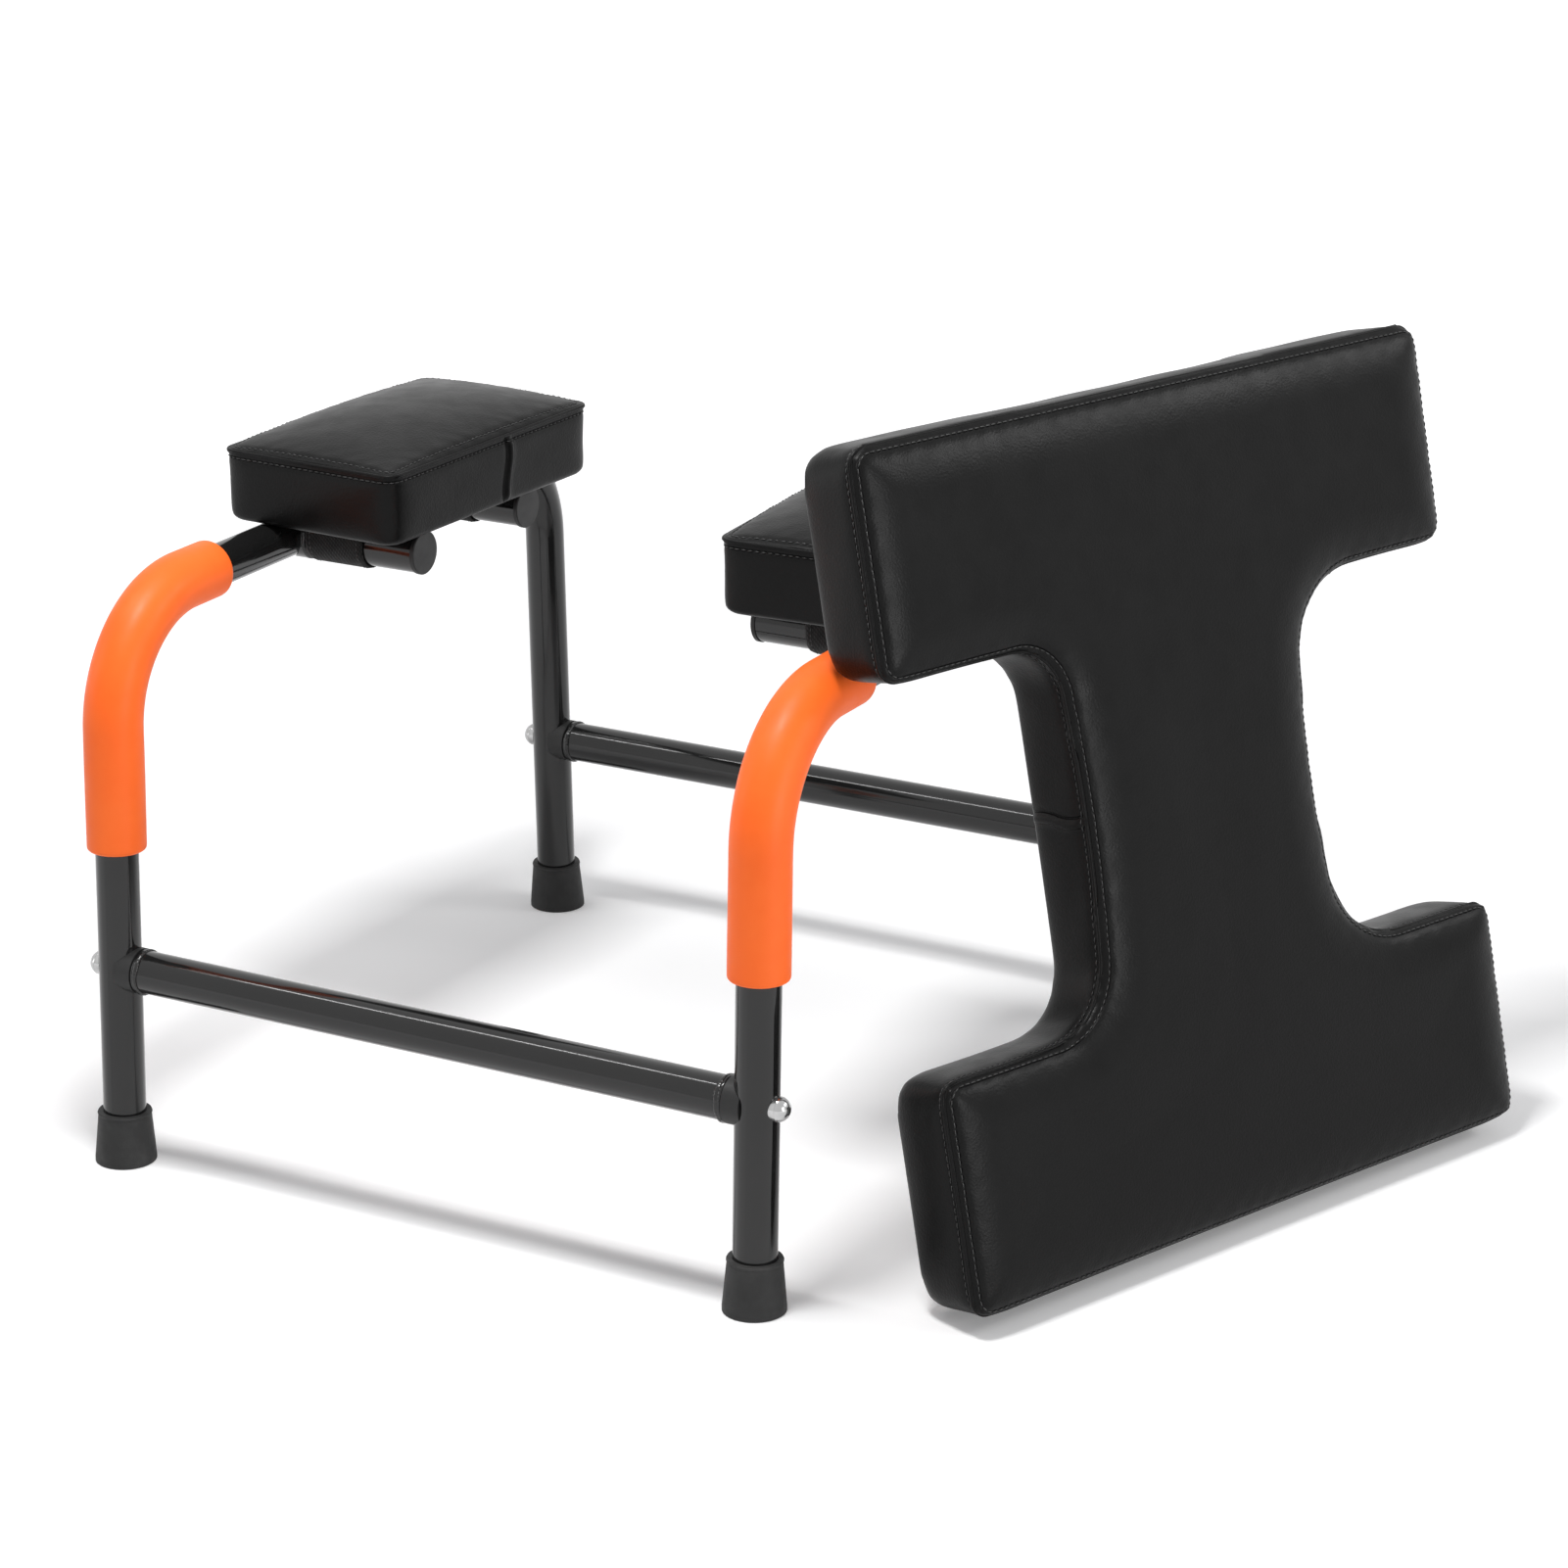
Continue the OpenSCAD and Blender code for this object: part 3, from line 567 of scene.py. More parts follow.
def spaced(loop, step):
    """Evenly spaced points along a closed loop."""
    p = np.vstack([loop, loop[:1]])
    total = lengths(p)[-1]
    n = max(8, int(round(total / step)))
    return points_at(p, np.linspace(0, total, n, endpoint=False))


def at_height(points, z):
    """Points of a plane outline, all at one height."""
    return np.column_stack([points, np.full(len(points), z)])


# Cushions
CLOTH = {
    "quality": 5,
    "mass": 0.3,
    "tension_stiffness": 12,
    "compression_stiffness": 12,
    "shear_stiffness": 6,
    "bending_stiffness": 0.6,
    "use_pressure": True,
    "uniform_pressure_force": 4.0,
    "vertex_group_mass": "held",
}
CLOTH_FRAMES = 20
BAND_SWELL = 1.6


def blank(corners, thick):
    """Closed starting form of a cushion, a little slacker than the finished pad."""
    # Inset, height, how far the sides draw in, and the share of the back's corner radii
    levels = [
        (HEM_W, 0.0, 0.0, 1.0),
        (5.0, 0.0, 0.0, 1.0),
        (2.4, 0.5, 0.3, 1.0),
        (0.9, 1.6, 0.5, 0.95),
        (0.4, 3.5, 0.7, 0.9),
        (0.7, thick * 0.3, 0.9, 0.6),
        (0.9, thick * 0.5, 1.0, 0.4),
        (0.7, thick * 0.75, 0.9, 0.2),
        (0.4, thick - 6.0, 0.7, 0.1),
        (0.2, thick - 2.0, 0.5, 0.0),
        (0.4, thick - 0.6, 0.5, 0.0),
        (1.6, thick + 0.2, 0.4, 0.0),
        (5.0, thick + 1.4, 0.2, 0.0),
        (14.0, thick + 3.2, 0.0, 0.0),
        (30.0, thick + 4.6, 0.0, 0.0),
        (46.0, thick + 5.2, 0.0, 0.0),
    ]
    rings = [at_height(outline(corners, inset, back, draw)[0], z) for inset, z, draw, back in levels]
    n = len(rings[0])
    last = (len(rings) - 1) * n
    faces = [list(range(n))[::-1], *quads(len(rings), n), list(range(last, last + n))]
    return np.vstack(rings), faces


def evaluated_mesh(ob):
    deps = bpy.context.evaluated_depsgraph_get()
    return bpy.data.meshes.new_from_object(ob.evaluated_get(deps), depsgraph=deps)


def apply_modifiers(ob):
    """Gives an object the mesh that its modifiers make."""
    me = evaluated_mesh(ob)
    ob.modifiers.clear()
    ob.data = me
    return me


def coordinates(me):
    v = np.empty(len(me.vertices) * 3)
    me.vertices.foreach_get("co", v)
    return v.reshape(-1, 3)


def set_coordinates(me, v):
    me.vertices.foreach_set("co", np.asarray(v, float).ravel())
    me.update()


def relax(me, rounds, factor, hold):
    """Smooths a mesh, except where hold is 1."""
    v = coordinates(me)
    e = np.empty(len(me.edges) * 2, int)
    me.edges.foreach_get("vertices", e)
    e = e.reshape(-1, 2)
    count = np.bincount(e.ravel(), minlength=len(v)).astype(float)[:, None]
    for _ in range(rounds):
        total = np.zeros_like(v)
        np.add.at(total, e[:, 0], v[e[:, 1]])
        np.add.at(total, e[:, 1], v[e[:, 0]])
        v += (total / np.maximum(count, 1) - v) * factor * (1 - hold)[:, None]
    set_coordinates(me, v)


def swell(ob, hold, thick, cap):
    """Cloth pressure swells the blank, by up to cap on the face and less on the band."""
    me = ob.data
    start = coordinates(me)
    group = ob.vertex_groups.new(name="held")
    for i, h in enumerate(hold):
        if h > 0:
            group.add([i], float(h), "REPLACE")
    cloth = ob.modifiers.new("cloth", "CLOTH")
    for key, value in CLOTH.items():
        setattr(cloth.settings, key, value)
    cloth.settings.effector_weights.gravity = 0.0
    cloth.collision_settings.use_self_collision = False
    cloth.point_cache.frame_start = 1
    cloth.point_cache.frame_end = CLOTH_FRAMES + 5
    for f in range(1, CLOTH_FRAMES + 1):
        scene.frame_set(f)
    end = coordinates(evaluated_mesh(ob))
    ob.modifiers.clear()
    ob.vertex_groups.clear()
    move = (end - start) / MM
    size = np.linalg.norm(move, axis=1)
    top = np.clip((start[:, 2] / MM - thick + 6) / 8, 0, 1)
    most = BAND_SWELL + (cap - BAND_SWELL) * top
    move *= (most * np.tanh(size / most) / np.maximum(size, 1e-9))[:, None]
    set_coordinates(me, start + move * MM)
    scene.frame_set(1)


def rolled_crown(v, inside):
    """Crown of the large pad: it rolls over beside the seam and is level inside."""
    reach = 34.0
    d = np.clip(inside - EDGE_R / 2, 0, reach)
    return LARGE_CROWN * (1 - (1 - d / reach) ** 2) ** 0.7


def domed_crown(v, inside):
    """Crown of a shoulder pad: one dome over the whole face."""
    u = np.clip(np.abs(v[:, 0]) / (PAD_W / 2), 0, 1)
    w = np.clip(np.abs(v[:, 1]) / (PAD_L / 2), 0, 1)
    return PAD_CROWN * ((1 - u**2.1) * (1 - w**2.2)) ** 0.75


def rounded_edge(v, loop, thick):
    """Brings the sewn edge to one even radius."""
    inside = signed_distance(v[:, :2], loop)
    u, w = inside - EDGE_R, v[:, 2] - (thick - EDGE_R)
    near = (u < 0) & (w > 0)
    flat = v[near][:, :2]
    slope = np.stack(
        [
            signed_distance(flat + step, loop) - signed_distance(flat - step, loop)
            for step in (np.array([0.5, 0.0]), np.array([0.0, 0.5]))
        ],
        1,
    )
    pull = EDGE_R / np.maximum(np.hypot(u[near], w[near]), 0.5)
    v[near, :2] += unit(slope) * (u[near] * (pull - 1))[:, None]
    v[near, 2] = thick - EDGE_R + w[near] * pull
    return v


def crowned(v, loop, thick, crown):
    """Rounds the sewn edge and brings the mean height of the face to its crown."""
    v = rounded_edge(v, loop, thick)
    d = np.clip(signed_distance(v[:, :2], loop), 0, None)
    face = (v[:, 2] > thick - EDGE_R - 0.5) & (d > EDGE_R / 2)
    # The face's mean height in strips of equal distance from the seam
    strip_w = 4.0
    strip = (d / strip_w).astype(int)
    at, mean = [], []
    for k in range(int(d.max() / strip_w) + 1):
        here = face & (strip == k)
        if here.sum() > 3:
            at.append(d[here].mean())
            mean.append(v[here, 2].mean() - thick)
    own = v[:, 2] - thick - np.interp(d, at, mean)
    share = np.clip((d - EDGE_R / 2) / 6, 0, 1)
    # Only a part of the cloth's own unevenness stays on the face
    goal = thick + crown(v, d) + 0.45 * own * share
    v[:, 2] = np.where(face, goal, v[:, 2])
    return v


def fold(v, loop, thick, joins):
    """Puckers beside the seam, a slack band, and the lapped joins of the band."""
    inside = signed_distance(v[:, :2], loop)
    x, y, z = v.T.copy()
    face = np.clip((z - thick) / 2.0, 0, 1)
    near = np.exp(-np.clip(inside - 3, 0, 99) / 9.0) * face
    pucker = np.sin(x * 0.33 + 1.3 * np.sin(y * 0.11)) * np.sin(y * 0.31 + 1.1 * np.sin(x * 0.09))
    v[:, 2] += 0.30 * near * pucker
    band = np.clip(1 - np.abs(z - thick * 0.5) / (thick * 0.5), 0, 1) * (inside < 3)
    away = unit(v[:, :2] - v[:, :2].mean(0))
    lump = 0.25 * np.sin(x * 0.09 + y * 0.07 + 2 * np.sin(z * 0.08)) * band
    v[:, :2] += away * lump[:, None]
    join_mm = np.full(len(v), FAR_OFF)
    for point, way in joins:
        along = (x - point[0]) * -way[1] + (y - point[1]) * way[0] + 2.0 * np.sin(z * 0.13)
        out = (x - point[0]) * way[0] + (y - point[1]) * way[1]
        here = (np.abs(out) < 22) & (inside < 4) & (z < thick - 0.5) & (z > 1.5) & (np.abs(along) < 60)
        join_mm = np.where(here, along, join_mm)
        lap = 1.7 * np.exp(-(((along - 4.2) / 2.8) ** 2)) - 0.9 * np.exp(-((along / 1.7) ** 2))
        lap *= np.where(here, np.clip(band * 4, 0, 1), 0)
        v[:, :2] += np.array(way) * lap[:, None]
    return v, join_mm


def seam_distance(v, inside, thick):
    """Distance from the seam: positive up the face, negative down the band."""
    on_face = (v[:, 2] > thick - 1.0) & (inside > -0.3)
    seam_mm = np.where(on_face, np.maximum(inside, 0), np.minimum(v[:, 2] - thick, 0))
    return np.where(v[:, 2] < 3, BACK_OFF, seam_mm)


def channels(seam_mm):
    """Depth of the two channels that the stitches pull in beside the seam."""
    face = np.exp(-(((seam_mm - FACE_STITCH) / 2.0) ** 2))
    band = np.exp(-(((seam_mm + BAND_STITCH) / 2.2) ** 2))
    return CHANNEL_DEPTH * face + CHANNEL_DEPTH * band


def cushion(name, corners, thick, place, body, nodes, voxel, cap, crown, joins):
    """A sewn pad: remeshed blank, swollen by cloth pressure, then crown, folds and seams."""
    verts, faces = blank(corners, thick)
    ob = build(name, verts * MM, faces, VINYL, None)
    loop = outline(corners)[0]
    remesh = ob.modifiers.new("remesh", "REMESH")
    remesh.mode = "VOXEL"
    remesh.voxel_size = voxel * MM
    me = apply_modifiers(ob)
    v = coordinates(me) / MM
    inside = signed_distance(v[:, :2], loop)
    # The back lies on its board, and the seam line is held by its stitches
    back = np.clip((5.0 - v[:, 2]) / 4.0, 0, 1)
    off = np.hypot(inside - 0.5, v[:, 2] - thick)
    seam = np.clip((7.0 - off) / 4.0, 0, 1)
    hold = np.maximum(back, seam)
    relax(me, 6, 0.5, np.maximum(back, seam * 0.7))
    swell(ob, hold, thick, cap)
    relax(me, 4, 0.5, hold * 0.8)
    fine = ob.modifiers.new("fine", "SUBSURF")
    fine.levels = fine.render_levels = 1
    me = apply_modifiers(ob)
    # From here on the mesh is in millimetres, until it is placed
    v = crowned(coordinates(me) / MM, loop, thick, crown)
    set_coordinates(me, v)
    relax(me, 6, 0.5, np.clip((thick - v[:, 2]) / 1.5, 0, 1))
    v, join_mm = fold(coordinates(me), loop, thick, joins)
    v[:, 2] = np.maximum(v[:, 2], 0.05)
    seam_mm = seam_distance(v, signed_distance(v[:, :2], loop), thick)
    normal = np.empty(len(v) * 3)
    me.vertices.foreach_get("normal", normal)
    v -= normal.reshape(-1, 3) * channels(seam_mm)[:, None]
    for named, values in (("seam_mm", seam_mm), ("join_mm", join_mm)):
        attr = me.attributes.new(named, "FLOAT", "POINT")
        attr.data.foreach_set("value", values.astype(np.float32))
    polygons = [tuple(f.vertices) for f in me.polygons]
    tree = BVHTree.FromPolygons([Vector(p) for p in v.tolist()], polygons)
    set_coordinates(me, place.out(v))
    me.polygons.foreach_set("use_smooth", [True] * len(me.polygons))
    me.materials.clear()
    me.materials.append(VINYL)
    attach(ob, body)
    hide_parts(*nodes)
    seam_rib(name, corners, thick, place, body, tree)
    stitch_row(name + "_face_stitches", corners, thick, place, body, tree, FACE_STITCH, None)
    stitch_row(name + "_band_stitches", corners, thick, place, body, tree, 0.0, BAND_STITCH)


def cast(tree, origin, way):
    """Where a ray meets the cushion, and the normal there."""
    hit = tree.ray_cast(Vector(origin), Vector(way), 60.0)
    return None if hit[0] is None else (np.array(hit[0]), np.array(hit[1]))


def seam_rib(name, corners, thick, place, body, tree):
    """Rib on the rounded edge, half way between band and face, seated on the cushion."""
    half_way = EDGE_R * (1 - math.sqrt(0.5))
    dense = spaced(np.hstack(outline(corners, half_way)), 2.0)
    ways = unit(np.column_stack([dense[:, 2:4], np.ones(len(dense))]))
    rib = at_height(dense[:, :2], thick - half_way)
    reach = 7.0
    offs = np.zeros(len(rib))
    for i, (p, w) in enumerate(zip(rib, ways)):
        hit = cast(tree, p + w * reach, -w)
        offs[i] = 0.0 if hit is None else np.clip((hit[0] - p) @ w, -3.0, 3.0)
    for _ in range(16):
        offs = (offs + (np.roll(offs, 1) + np.roll(offs, -1)) / 2) / 2
    rib += ways * (offs - RIB_SUNK)[:, None]
    verts, faces = tube_along(rib, RIB_R, 10, True, normals=ways)
    build(name + "_seam_rib", place.out(verts), faces, PIPING, body)


def stitch_row(name, corners, thick, place, body, tree, inset, drop):
    """Stitches along the seam: inset on the face, or drop below it on the band."""
    marks = spaced(np.hstack(outline(corners, inset)), STITCH_PITCH)
    verts, faces = [], []
    for row, following in zip(marks, np.roll(marks, -1, 0)):
        w = unit(row[2:4])
        ends = []
        # Share of the way to the next mark, and how far the thread stands off the vinyl
        for s, lift in ((0.14, -0.05), (0.5, 0.28), (0.86, -0.05)):
            p = row[:2] * (1 - s) + following[:2] * s
            if drop is None:
                hit = cast(tree, (p[0], p[1], thick + 30), (0, 0, -1))
            else:
                hit = cast(tree, (*(p + w * 12), thick - drop), (-w[0], -w[1], 0))
            if hit is None:
                break
            ends.append(hit[0] + hit[1] * lift)
        if len(ends) == 3 and np.linalg.norm(ends[2] - ends[0]) < 8:
            tube_along(np.array(ends), [0.28, 0.42, 0.28], 6, False, verts, faces)
    build(name, place.out(verts), faces, THREAD, body)


def backing(name, corners, place, body, node_name, keep_clear=()):
    """Dust cover stapled over the folded hem on the underside."""
    # Inset and height of the cloth's rings, from its inner side round its edge to its outer face
    levels = ((HEM_W - 7.0, 0.5), (HEM_W - 7.0, -0.05), (HEM_W - 5.5, -0.22), (HEM_W + 2, -0.1))
    rings = [at_height(outline(corners, inset, arc=8, run=16)[0], z) for inset, z in levels]
    n = len(rings[0])
    faces = [list(range(n)), *quads(len(rings), n), list(range(3 * n, 4 * n))[::-1]]
    verts = place.out(np.vstack(rings))
    ob = build(name, verts, faces, WEBBING, body, smooth=False)
    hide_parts(node_name)
    verts, faces = [], []
    for row in spaced(np.hstack(outline(corners, HEM_W - 9.0)), 34.0):
        if any(abs(row[1] - y) < 24 for y in keep_clear):
            continue
        t = left_of(unit(row[2:4]))
        legs = ((-5.0, 0.8), (-4.9, -0.2), (4.9, -0.2), (5.0, 0.8))
        tube_along([(*(row[:2] + t * across), z) for across, z in legs], 0.4, 6, False, verts, faces)
    if verts:
        build(name + "_staples", place.out(verts), faces, STAPLE, body)


# Camera, fitted to the photograph: its turn, height, distance, aim and focal length
AZ, EL = math.radians(28.82), math.radians(19.12)
CAMERA_AWAY = 2.991
AIM_X, AIM_Z = 107.5, 0.2342
PHOTO_W, PHOTO_FOCAL, SENSOR_W = 1601, 4677, 36
cam = bpy.data.cameras.new("camera")
cam.sensor_fit = "HORIZONTAL"
cam.sensor_width = SENSOR_W
cam.lens = PHOTO_FOCAL / PHOTO_W * SENSOR_W
cam.clip_start = 0.1
cam.clip_end = 60
camera = bpy.data.objects.new("camera", cam)
scene.collection.objects.link(camera)
towards = Vector((-math.sin(AZ) * math.cos(EL), math.cos(AZ) * math.cos(EL), -math.sin(EL)))
camera.location = Vector(((AIM_X + SHIFT[0]) * MM, 0, AIM_Z)) - towards * CAMERA_AWAY
camera.rotation_euler = towards.to_track_quat("-Z", "Y").to_euler()
scene.camera = camera
scene.view_settings.view_transform = "Standard"


# Soft pads
arm_rows = [end * ARM_PITCH / 2 - PAD_BACK for end in (-1, 1)]
for side, tag in ((-1, "left"), (1, "right")):
    place = pad_place(side)
    cushion(
        tag + "_pad", PAD_CORNERS, PAD_T, place, "stool",
        [tag + "_pad_cover", tag + "_pad_foam"], 3.4, 7.0, domed_crown,
        [((-side * PAD_W / 2, 13.0), (-side, 0.0))],
    )
    backing(tag + "_pad_dust_cover", PAD_CORNERS, place, "stool", tag + "_pad_backing", arm_rows)
cushion(
    "large_pad", LARGE_CORNERS, LARGE_T, LARGE_PLACE, "large_pad",
    ["large_pad_cover", "large_pad_foam", "large_pad_board"], 5.0, 9.0, rolled_crown,
    [((NOTCH_D, 280.0), (-1.0, 0.0)), ((LARGE_W, 440.0), (1.0, 0.0))],
)
backing("large_pad_dust_cover", LARGE_CORNERS, LARGE_PLACE, "large_pad", "large_pad_backing")


# Grips
GRIP_ROUND = 2.5
GRIP_SLIT = 0.45


def grip_path():
    """Middle line of a grip as y and z: up the front leg, round the bend and along the top."""
    corner = LEG_SPAN / 2 - FRAME_H * math.tan(LEAN)
    by = corner - BEND_R * math.tan((math.pi / 2 - LEAN) / 2)
    bz = FRAME_H - BEND_R
    path = []
    top_y, top_z = by + BEND_R * math.cos(LEAN), bz + BEND_R * math.sin(LEAN)
    length = (top_z - GRIP_LOW) / math.cos(LEAN)
    for s in np.linspace(length, 0, 22):
        path.append((-(top_y + s * math.sin(LEAN)), top_z - s * math.cos(LEAN)))
    for k in range(1, 41):
        t = LEAN + (math.pi / 2 - LEAN) * k / 40
        path.append((-(by + BEND_R * math.cos(t)), bz + BEND_R * math.sin(t)))
    for s in np.linspace(2, GRIP_RUN, 12):
        path.append((-by + s, FRAME_H))
    return np.array(path)


def grip_radius(s, total):
    """Outer radius at s along a grip, rounded off towards both ends."""
    d = min(s, total - s)
    if d >= GRIP_ROUND:
        return GRIP_R
    return GRIP_R - GRIP_ROUND + math.sqrt(max(GRIP_ROUND ** 2 - (GRIP_ROUND - d) ** 2, 0))


def grip(side, tag):
    """Foam sleeve over the front bend, with a slit down its left side."""
    path = grip_path()
    total = lengths(path)[-1]
    # Denser at the rounded ends
    ends = np.array([0, 0.35, 0.9, 1.6, 2.5])
    at = np.concatenate([ends, np.linspace(4, total - 4, 110), total - ends[::-1]])
    p = points_at(path, at)
    tan = unit(np.gradient(p, at, axis=0))
    sides = 64
    gap = math.asin(GRIP_SLIT / GRIP_R)
    turns = [math.pi + gap + (2 * math.pi - 2 * gap) * k / sides for k in range(sides + 1)]
    side_way = np.array([1.0, 0, 0])
    verts = []
    for s, (y, z), (ty, tz) in zip(at, p, tan):
        up_way = np.array([0, -tz, ty])
        c = np.array([side * HALF_SPAN, y, z])
        r = grip_radius(s, total) * (1 + 0.004 * math.sin(s * 0.05 + side))
        for k, a in enumerate(turns):
            # The lips of the slit are rounded
            rr = r - {0: 0.5, 1: 0.12}.get(min(k, sides - k), 0)
            verts.append(c + side_way * math.cos(a) * rr + up_way * math.sin(a) * rr)
        for a in turns[::-1]:
            verts.append(c + (side_way * math.cos(a) + up_way * math.sin(a)) * (TUBE_R + FIT_GAP))
    m = 2 * (sides + 1)
    faces = quads(len(p), m)
    for base, flip in ((0, False), ((len(p) - 1) * m, True)):
        for k in range(sides):
            f = [base + k, base + k + 1, base + m - 2 - k, base + m - 1 - k]
            faces.append(f[::-1] if flip else f)
    ob = build(tag + "_grip_sleeve", STOOL.out(verts), faces, GRIP, "stool")
    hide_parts(tag + "_grip")


grip(-1, "left")
grip(1, "right")


# Straps
STRAP_RISE = 13.6


def strap(side, end, name):
    """Webbing round an arm, up both sides to the underside of the pad."""
    # Points of the strap's middle round the arm as y and z, each with its outward direction
    r = TUBE_R + FIT_GAP + STRAP_T / 2
    path = [(-r, z, -1.0, 0.0) for z in np.linspace(STRAP_RISE, 0, 7)[:-1]]
    for a in np.linspace(math.pi, 2 * math.pi, 33):
        path.append((r * math.cos(a), r * math.sin(a), math.cos(a), math.sin(a)))
    path += [(r, z, 1.0, 0.0) for z in np.linspace(0, STRAP_RISE, 7)[1:]]

    def placed(x, off):
        """A line round the arm, at x across the strap and off its middle."""
        across = side * (HALF_SPAN - STRAP_X - x)
        return [[across, arm_y(side, end) + y + ny * off, FRAME_H + z + nz * off] for y, z, ny, nz in path]

    half = STRAP_T / 2
    edge = []
    for x in np.linspace(0, STRAP_W, 19):
        edge.append((x, half * (0.35 + 0.65 * min(1.0, min(x, STRAP_W - x) / 1.8))))
    ring = edge + [(x, max(-h, -half * 0.98)) for x, h in edge[::-1]]
    m = len(ring)
    verts = np.stack([placed(x, h) for x, h in ring], 1).reshape(-1, 3)
    last = (len(path) - 1) * m
    faces = [*quads(len(path), m), list(range(m))[::-1], list(range(last, last + m))]
    ob = build(name + "_webbing", STOOL.out(verts), faces, WEBBING, "stool")
    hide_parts(name)
    verts, faces = [], []
    for x in (4.0, STRAP_W - 4.0):
        line = np.array(placed(x, 0.95))
        for s in np.arange(1.5, lengths(line)[-1] - 3, 3.6):
            ends = points_at(line, s + np.array([0, 1.2, 2.4]))
            tube_along(ends, [0.2, 0.36, 0.2], 6, False, verts, faces)
    build(name + "_stitches", STOOL.out(verts), faces, THREAD, "stool")


for side, end, leg in LEGS:
    strap(side, end, leg + "_strap")


# Welds
RAIL_Y = LEG_SPAN / 2 - RAIL_H * math.tan(LEAN)
RAIL_BEAD_R, RAIL_BEAD_W = 14.1, 3.4
ARM_BEAD_R, ARM_BEAD_W, ARM_BEAD_STAND = 14.2, 2.8, 1.6


def bead(name, centre, radius, width, seed):
    """Ring of weld ripples round a tube that runs along x."""
    rng = random.Random(seed)
    axis = np.array([1.0, 0, 0])
    u = np.array([0, 1.0, 0])
    w = np.cross(axis, u)
    n, sides = 160, 12
    phase = [rng.uniform(0, 6.28) for _ in range(3)]
    verts = []
    for i in range(n):
        a = 2 * math.pi * i / n
        ripple = 0.16 * abs(math.sin(a * 17 + phase[0])) + 0.22 * math.sin(a * 3 + phase[1])
        shift = 0.35 * math.sin(a * 2 + phase[2]) + 0.15 * math.sin(a * 7 + phase[0])
        rad = u * math.cos(a) + w * math.sin(a)
        for k in range(sides):
            t = 2 * math.pi * k / sides
            outward = rad * (radius + (1.1 + ripple) * math.cos(t))
            sideways = axis * (shift + (width / 2 + ripple) * math.sin(t))
            verts.append(np.array(centre) + outward + sideways)
    build(name, STOOL.out(verts), quads(n, sides, 0, True), WELD, "stool")


for side, end, leg in LEGS:
    x = side * (HALF_SPAN - TUBE_R - SADDLE_STAND - RAIL_BEAD_W)
    rail_end = (x, end * RAIL_Y, RAIL_H)
    bead(leg + "_rail_weld", rail_end, RAIL_BEAD_R, RAIL_BEAD_W, side + 3 * end)
    root = (side * (HALF_SPAN - TUBE_R - ARM_BEAD_STAND), arm_y(side, end), FRAME_H)
    bead(leg + "_arm_weld", root, ARM_BEAD_R, ARM_BEAD_W, side + 5 * end)


# Materials of the frame's own nodes, by a word in the name; every other one is tube
LOOKS = (
    ("saddle", CAP),
    ("arm_cap", CAP),
    ("foot", RUBBER),
    ("washer", CHROME),
    ("bolt", CHROME),
    ("board", PLY),
    ("strap", WEBBING),
    ("grip", GRIP),
)


def finish_node(name, material):
    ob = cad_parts[name]
    if not ob.material_slots:
        ob.data.materials.append(material)
    for s in ob.material_slots:
        s.material = material


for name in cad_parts:
    if not name.endswith(("_cover", "_foam", "_backing")):
        finish_node(name, next((look for word, look in LOOKS if word in name), TUBE))


# Stage
FLOOR_HALF, FLOOR_DROP = 20, 0.0004
GLOW_FROM, GLOW_TO = 0.45, 2.6
FLOOR_GLOW_NEAR, FLOOR_GLOW_FAR = 0.14, 0.9
STUDIO, WHITE = (0.34, 0.34, 0.35, 1), (1, 1, 1, 1)


def seen_white(nt):
    """One for the rays that should find a white background: camera, mirror and glass rays."""
    path = node(nt, "ShaderNodeLightPath")
    glossy = math_node(nt, "MAXIMUM", path.outputs["Is Camera Ray"], path.outputs["Is Glossy Ray"])
    return math_node(nt, "MAXIMUM", glossy, path.outputs["Is Transmission Ray"])


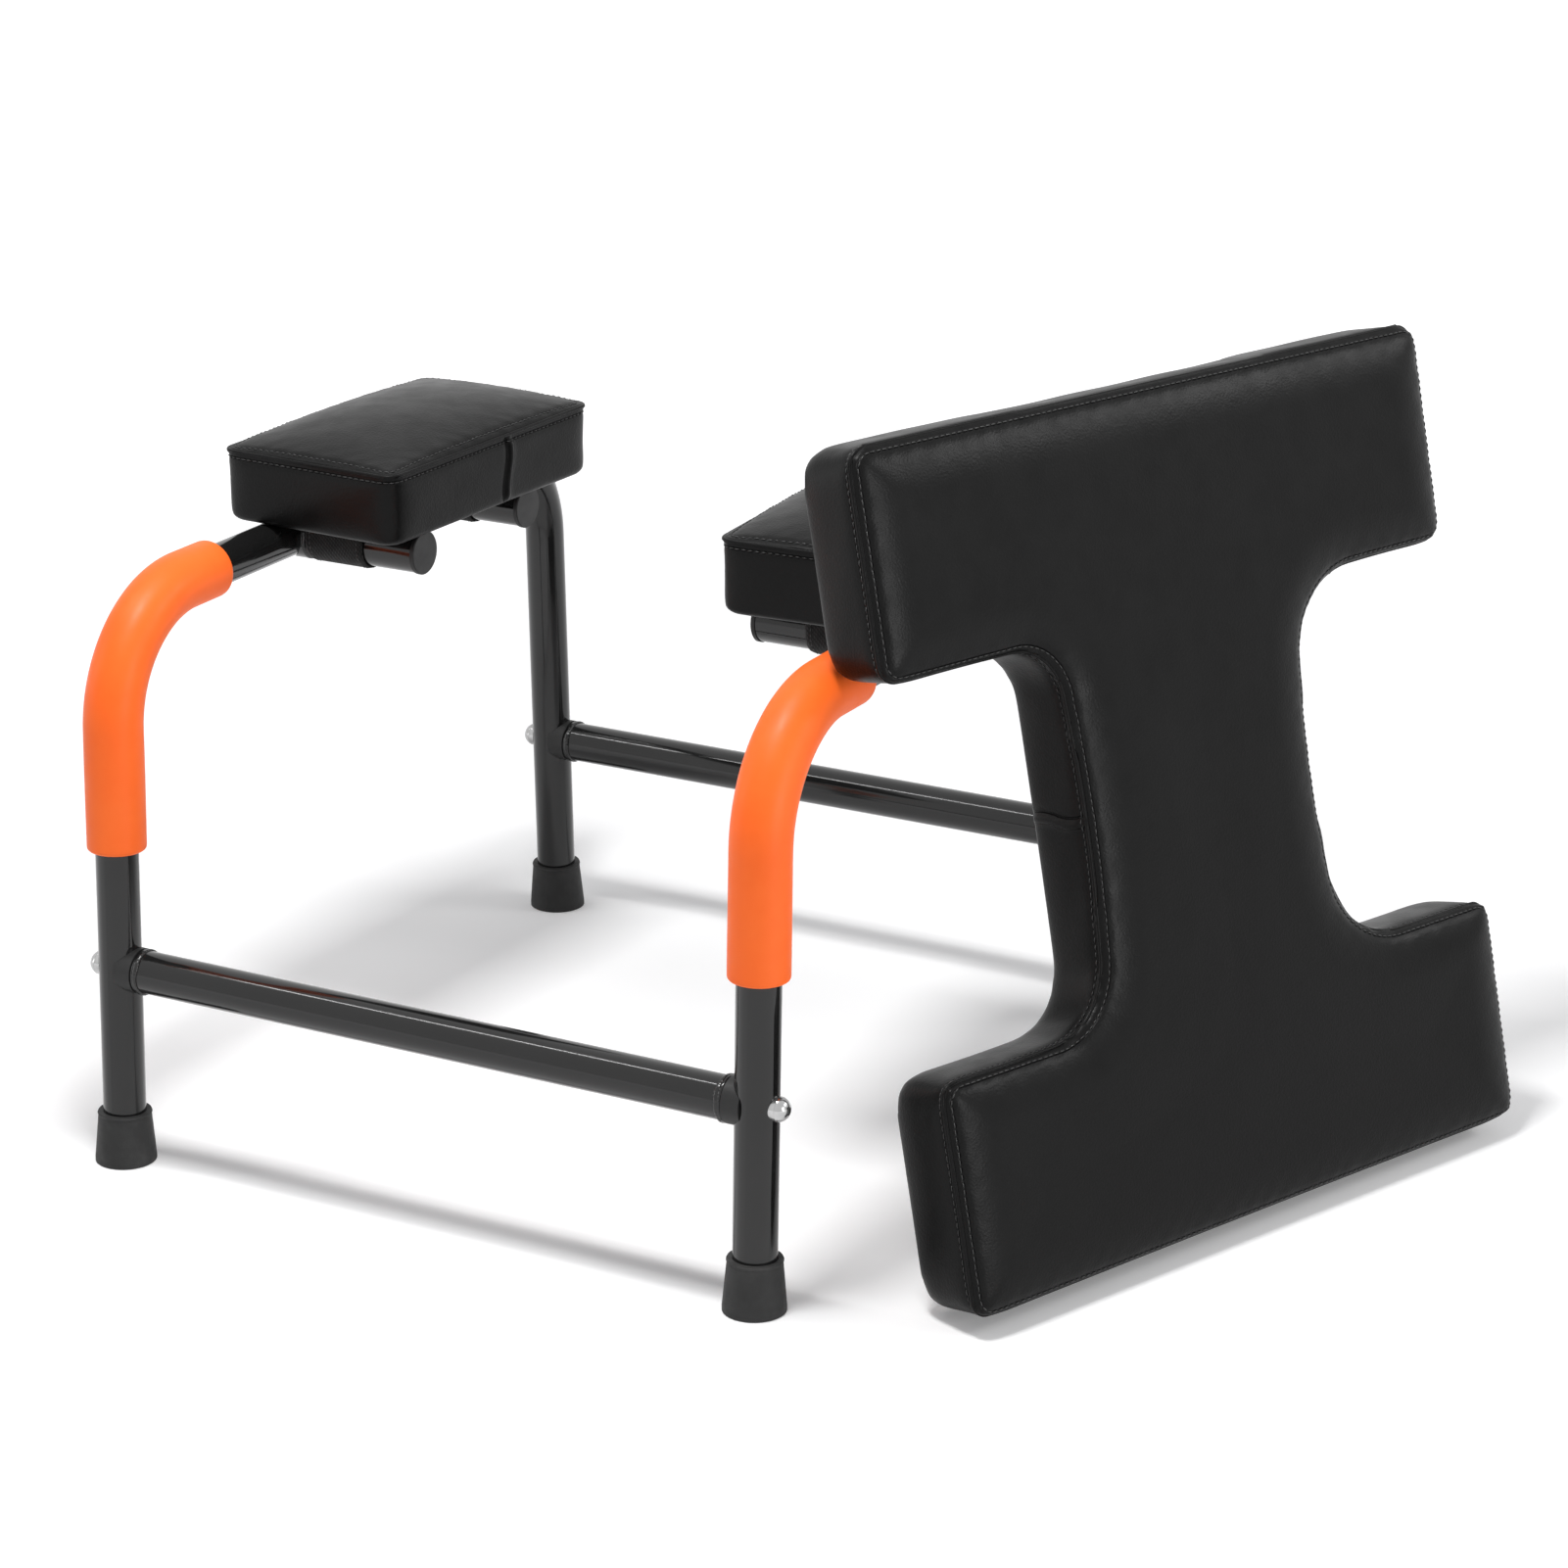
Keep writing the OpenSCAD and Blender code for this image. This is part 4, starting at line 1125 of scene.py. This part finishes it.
def floor_material():
    """Pale paper whose glow brings it to white away from the object's shadow."""
    paper = {"Base Color": (*grey(0.93), 1), "Roughness": 0.9, SHINE: 0.1, "Emission Color": WHITE}
    m, nt, b = new_material("floor_paper", paper)
    away = node(nt, "ShaderNodeVectorMath", operation="LENGTH")
    nt.links.new(coords(nt), away.inputs[0])
    glow = spread(nt, away.outputs["Value"], GLOW_FROM, GLOW_TO, FLOOR_GLOW_NEAR, FLOOR_GLOW_FAR)
    nt.links.new(math_node(nt, "MULTIPLY", glow, seen_white(nt)), b.inputs["Emission Strength"])
    return m


square = ((-1, -1), (1, -1), (1, 1), (-1, 1))
me = bpy.data.meshes.new("floor")
me.from_pydata([(x * FLOOR_HALF, y * FLOOR_HALF, 0) for x, y in square], [], [(0, 1, 2, 3)])
floor = bpy.data.objects.new("floor", me)
scene.collection.objects.link(floor)
floor.location.z = -FLOOR_DROP
me.materials.append(floor_material())

world = bpy.data.worlds.new("studio")
scene.world = world
world.use_nodes = True
nt = world.node_tree
nt.links.new(mix_colour(nt, seen_white(nt), STUDIO, WHITE), nt.nodes["Background"].inputs["Color"])


def softbox(name, at, aim, size, power):
    """A rectangular lamp: place, aim and size in metres, power in watts."""
    light = bpy.data.lights.new(name, "AREA")
    light.shape = "RECTANGLE"
    light.size, light.size_y = size
    light.energy = power
    ob = bpy.data.objects.new(name, light)
    scene.collection.objects.link(ob)
    ob.location = at
    ob.rotation_euler = (Vector(aim) - Vector(at)).to_track_quat("-Z", "Y").to_euler()


softbox("key", (-0.04, -0.5, 1.87), (0.02, -0.05, 0.1), (0.32, 0.32), 22)
softbox("strip", (-0.9, -0.45, 1.9), (-0.9, -0.3, 0), (1.1, 0.07), 6)
softbox("left", (-2.6, -1.2, 1.0), (0, 0, 0.3), (0.2, 1.8), 7)
softbox("right", (2.6, -0.75, 0.66), (0.2, -0.2, 0.25), (0.6, 1.2), 20)
softbox("rim", (2.0, 1.0, 1.5), (0.2, 0, 0.4), (1.2, 0.5), 15)
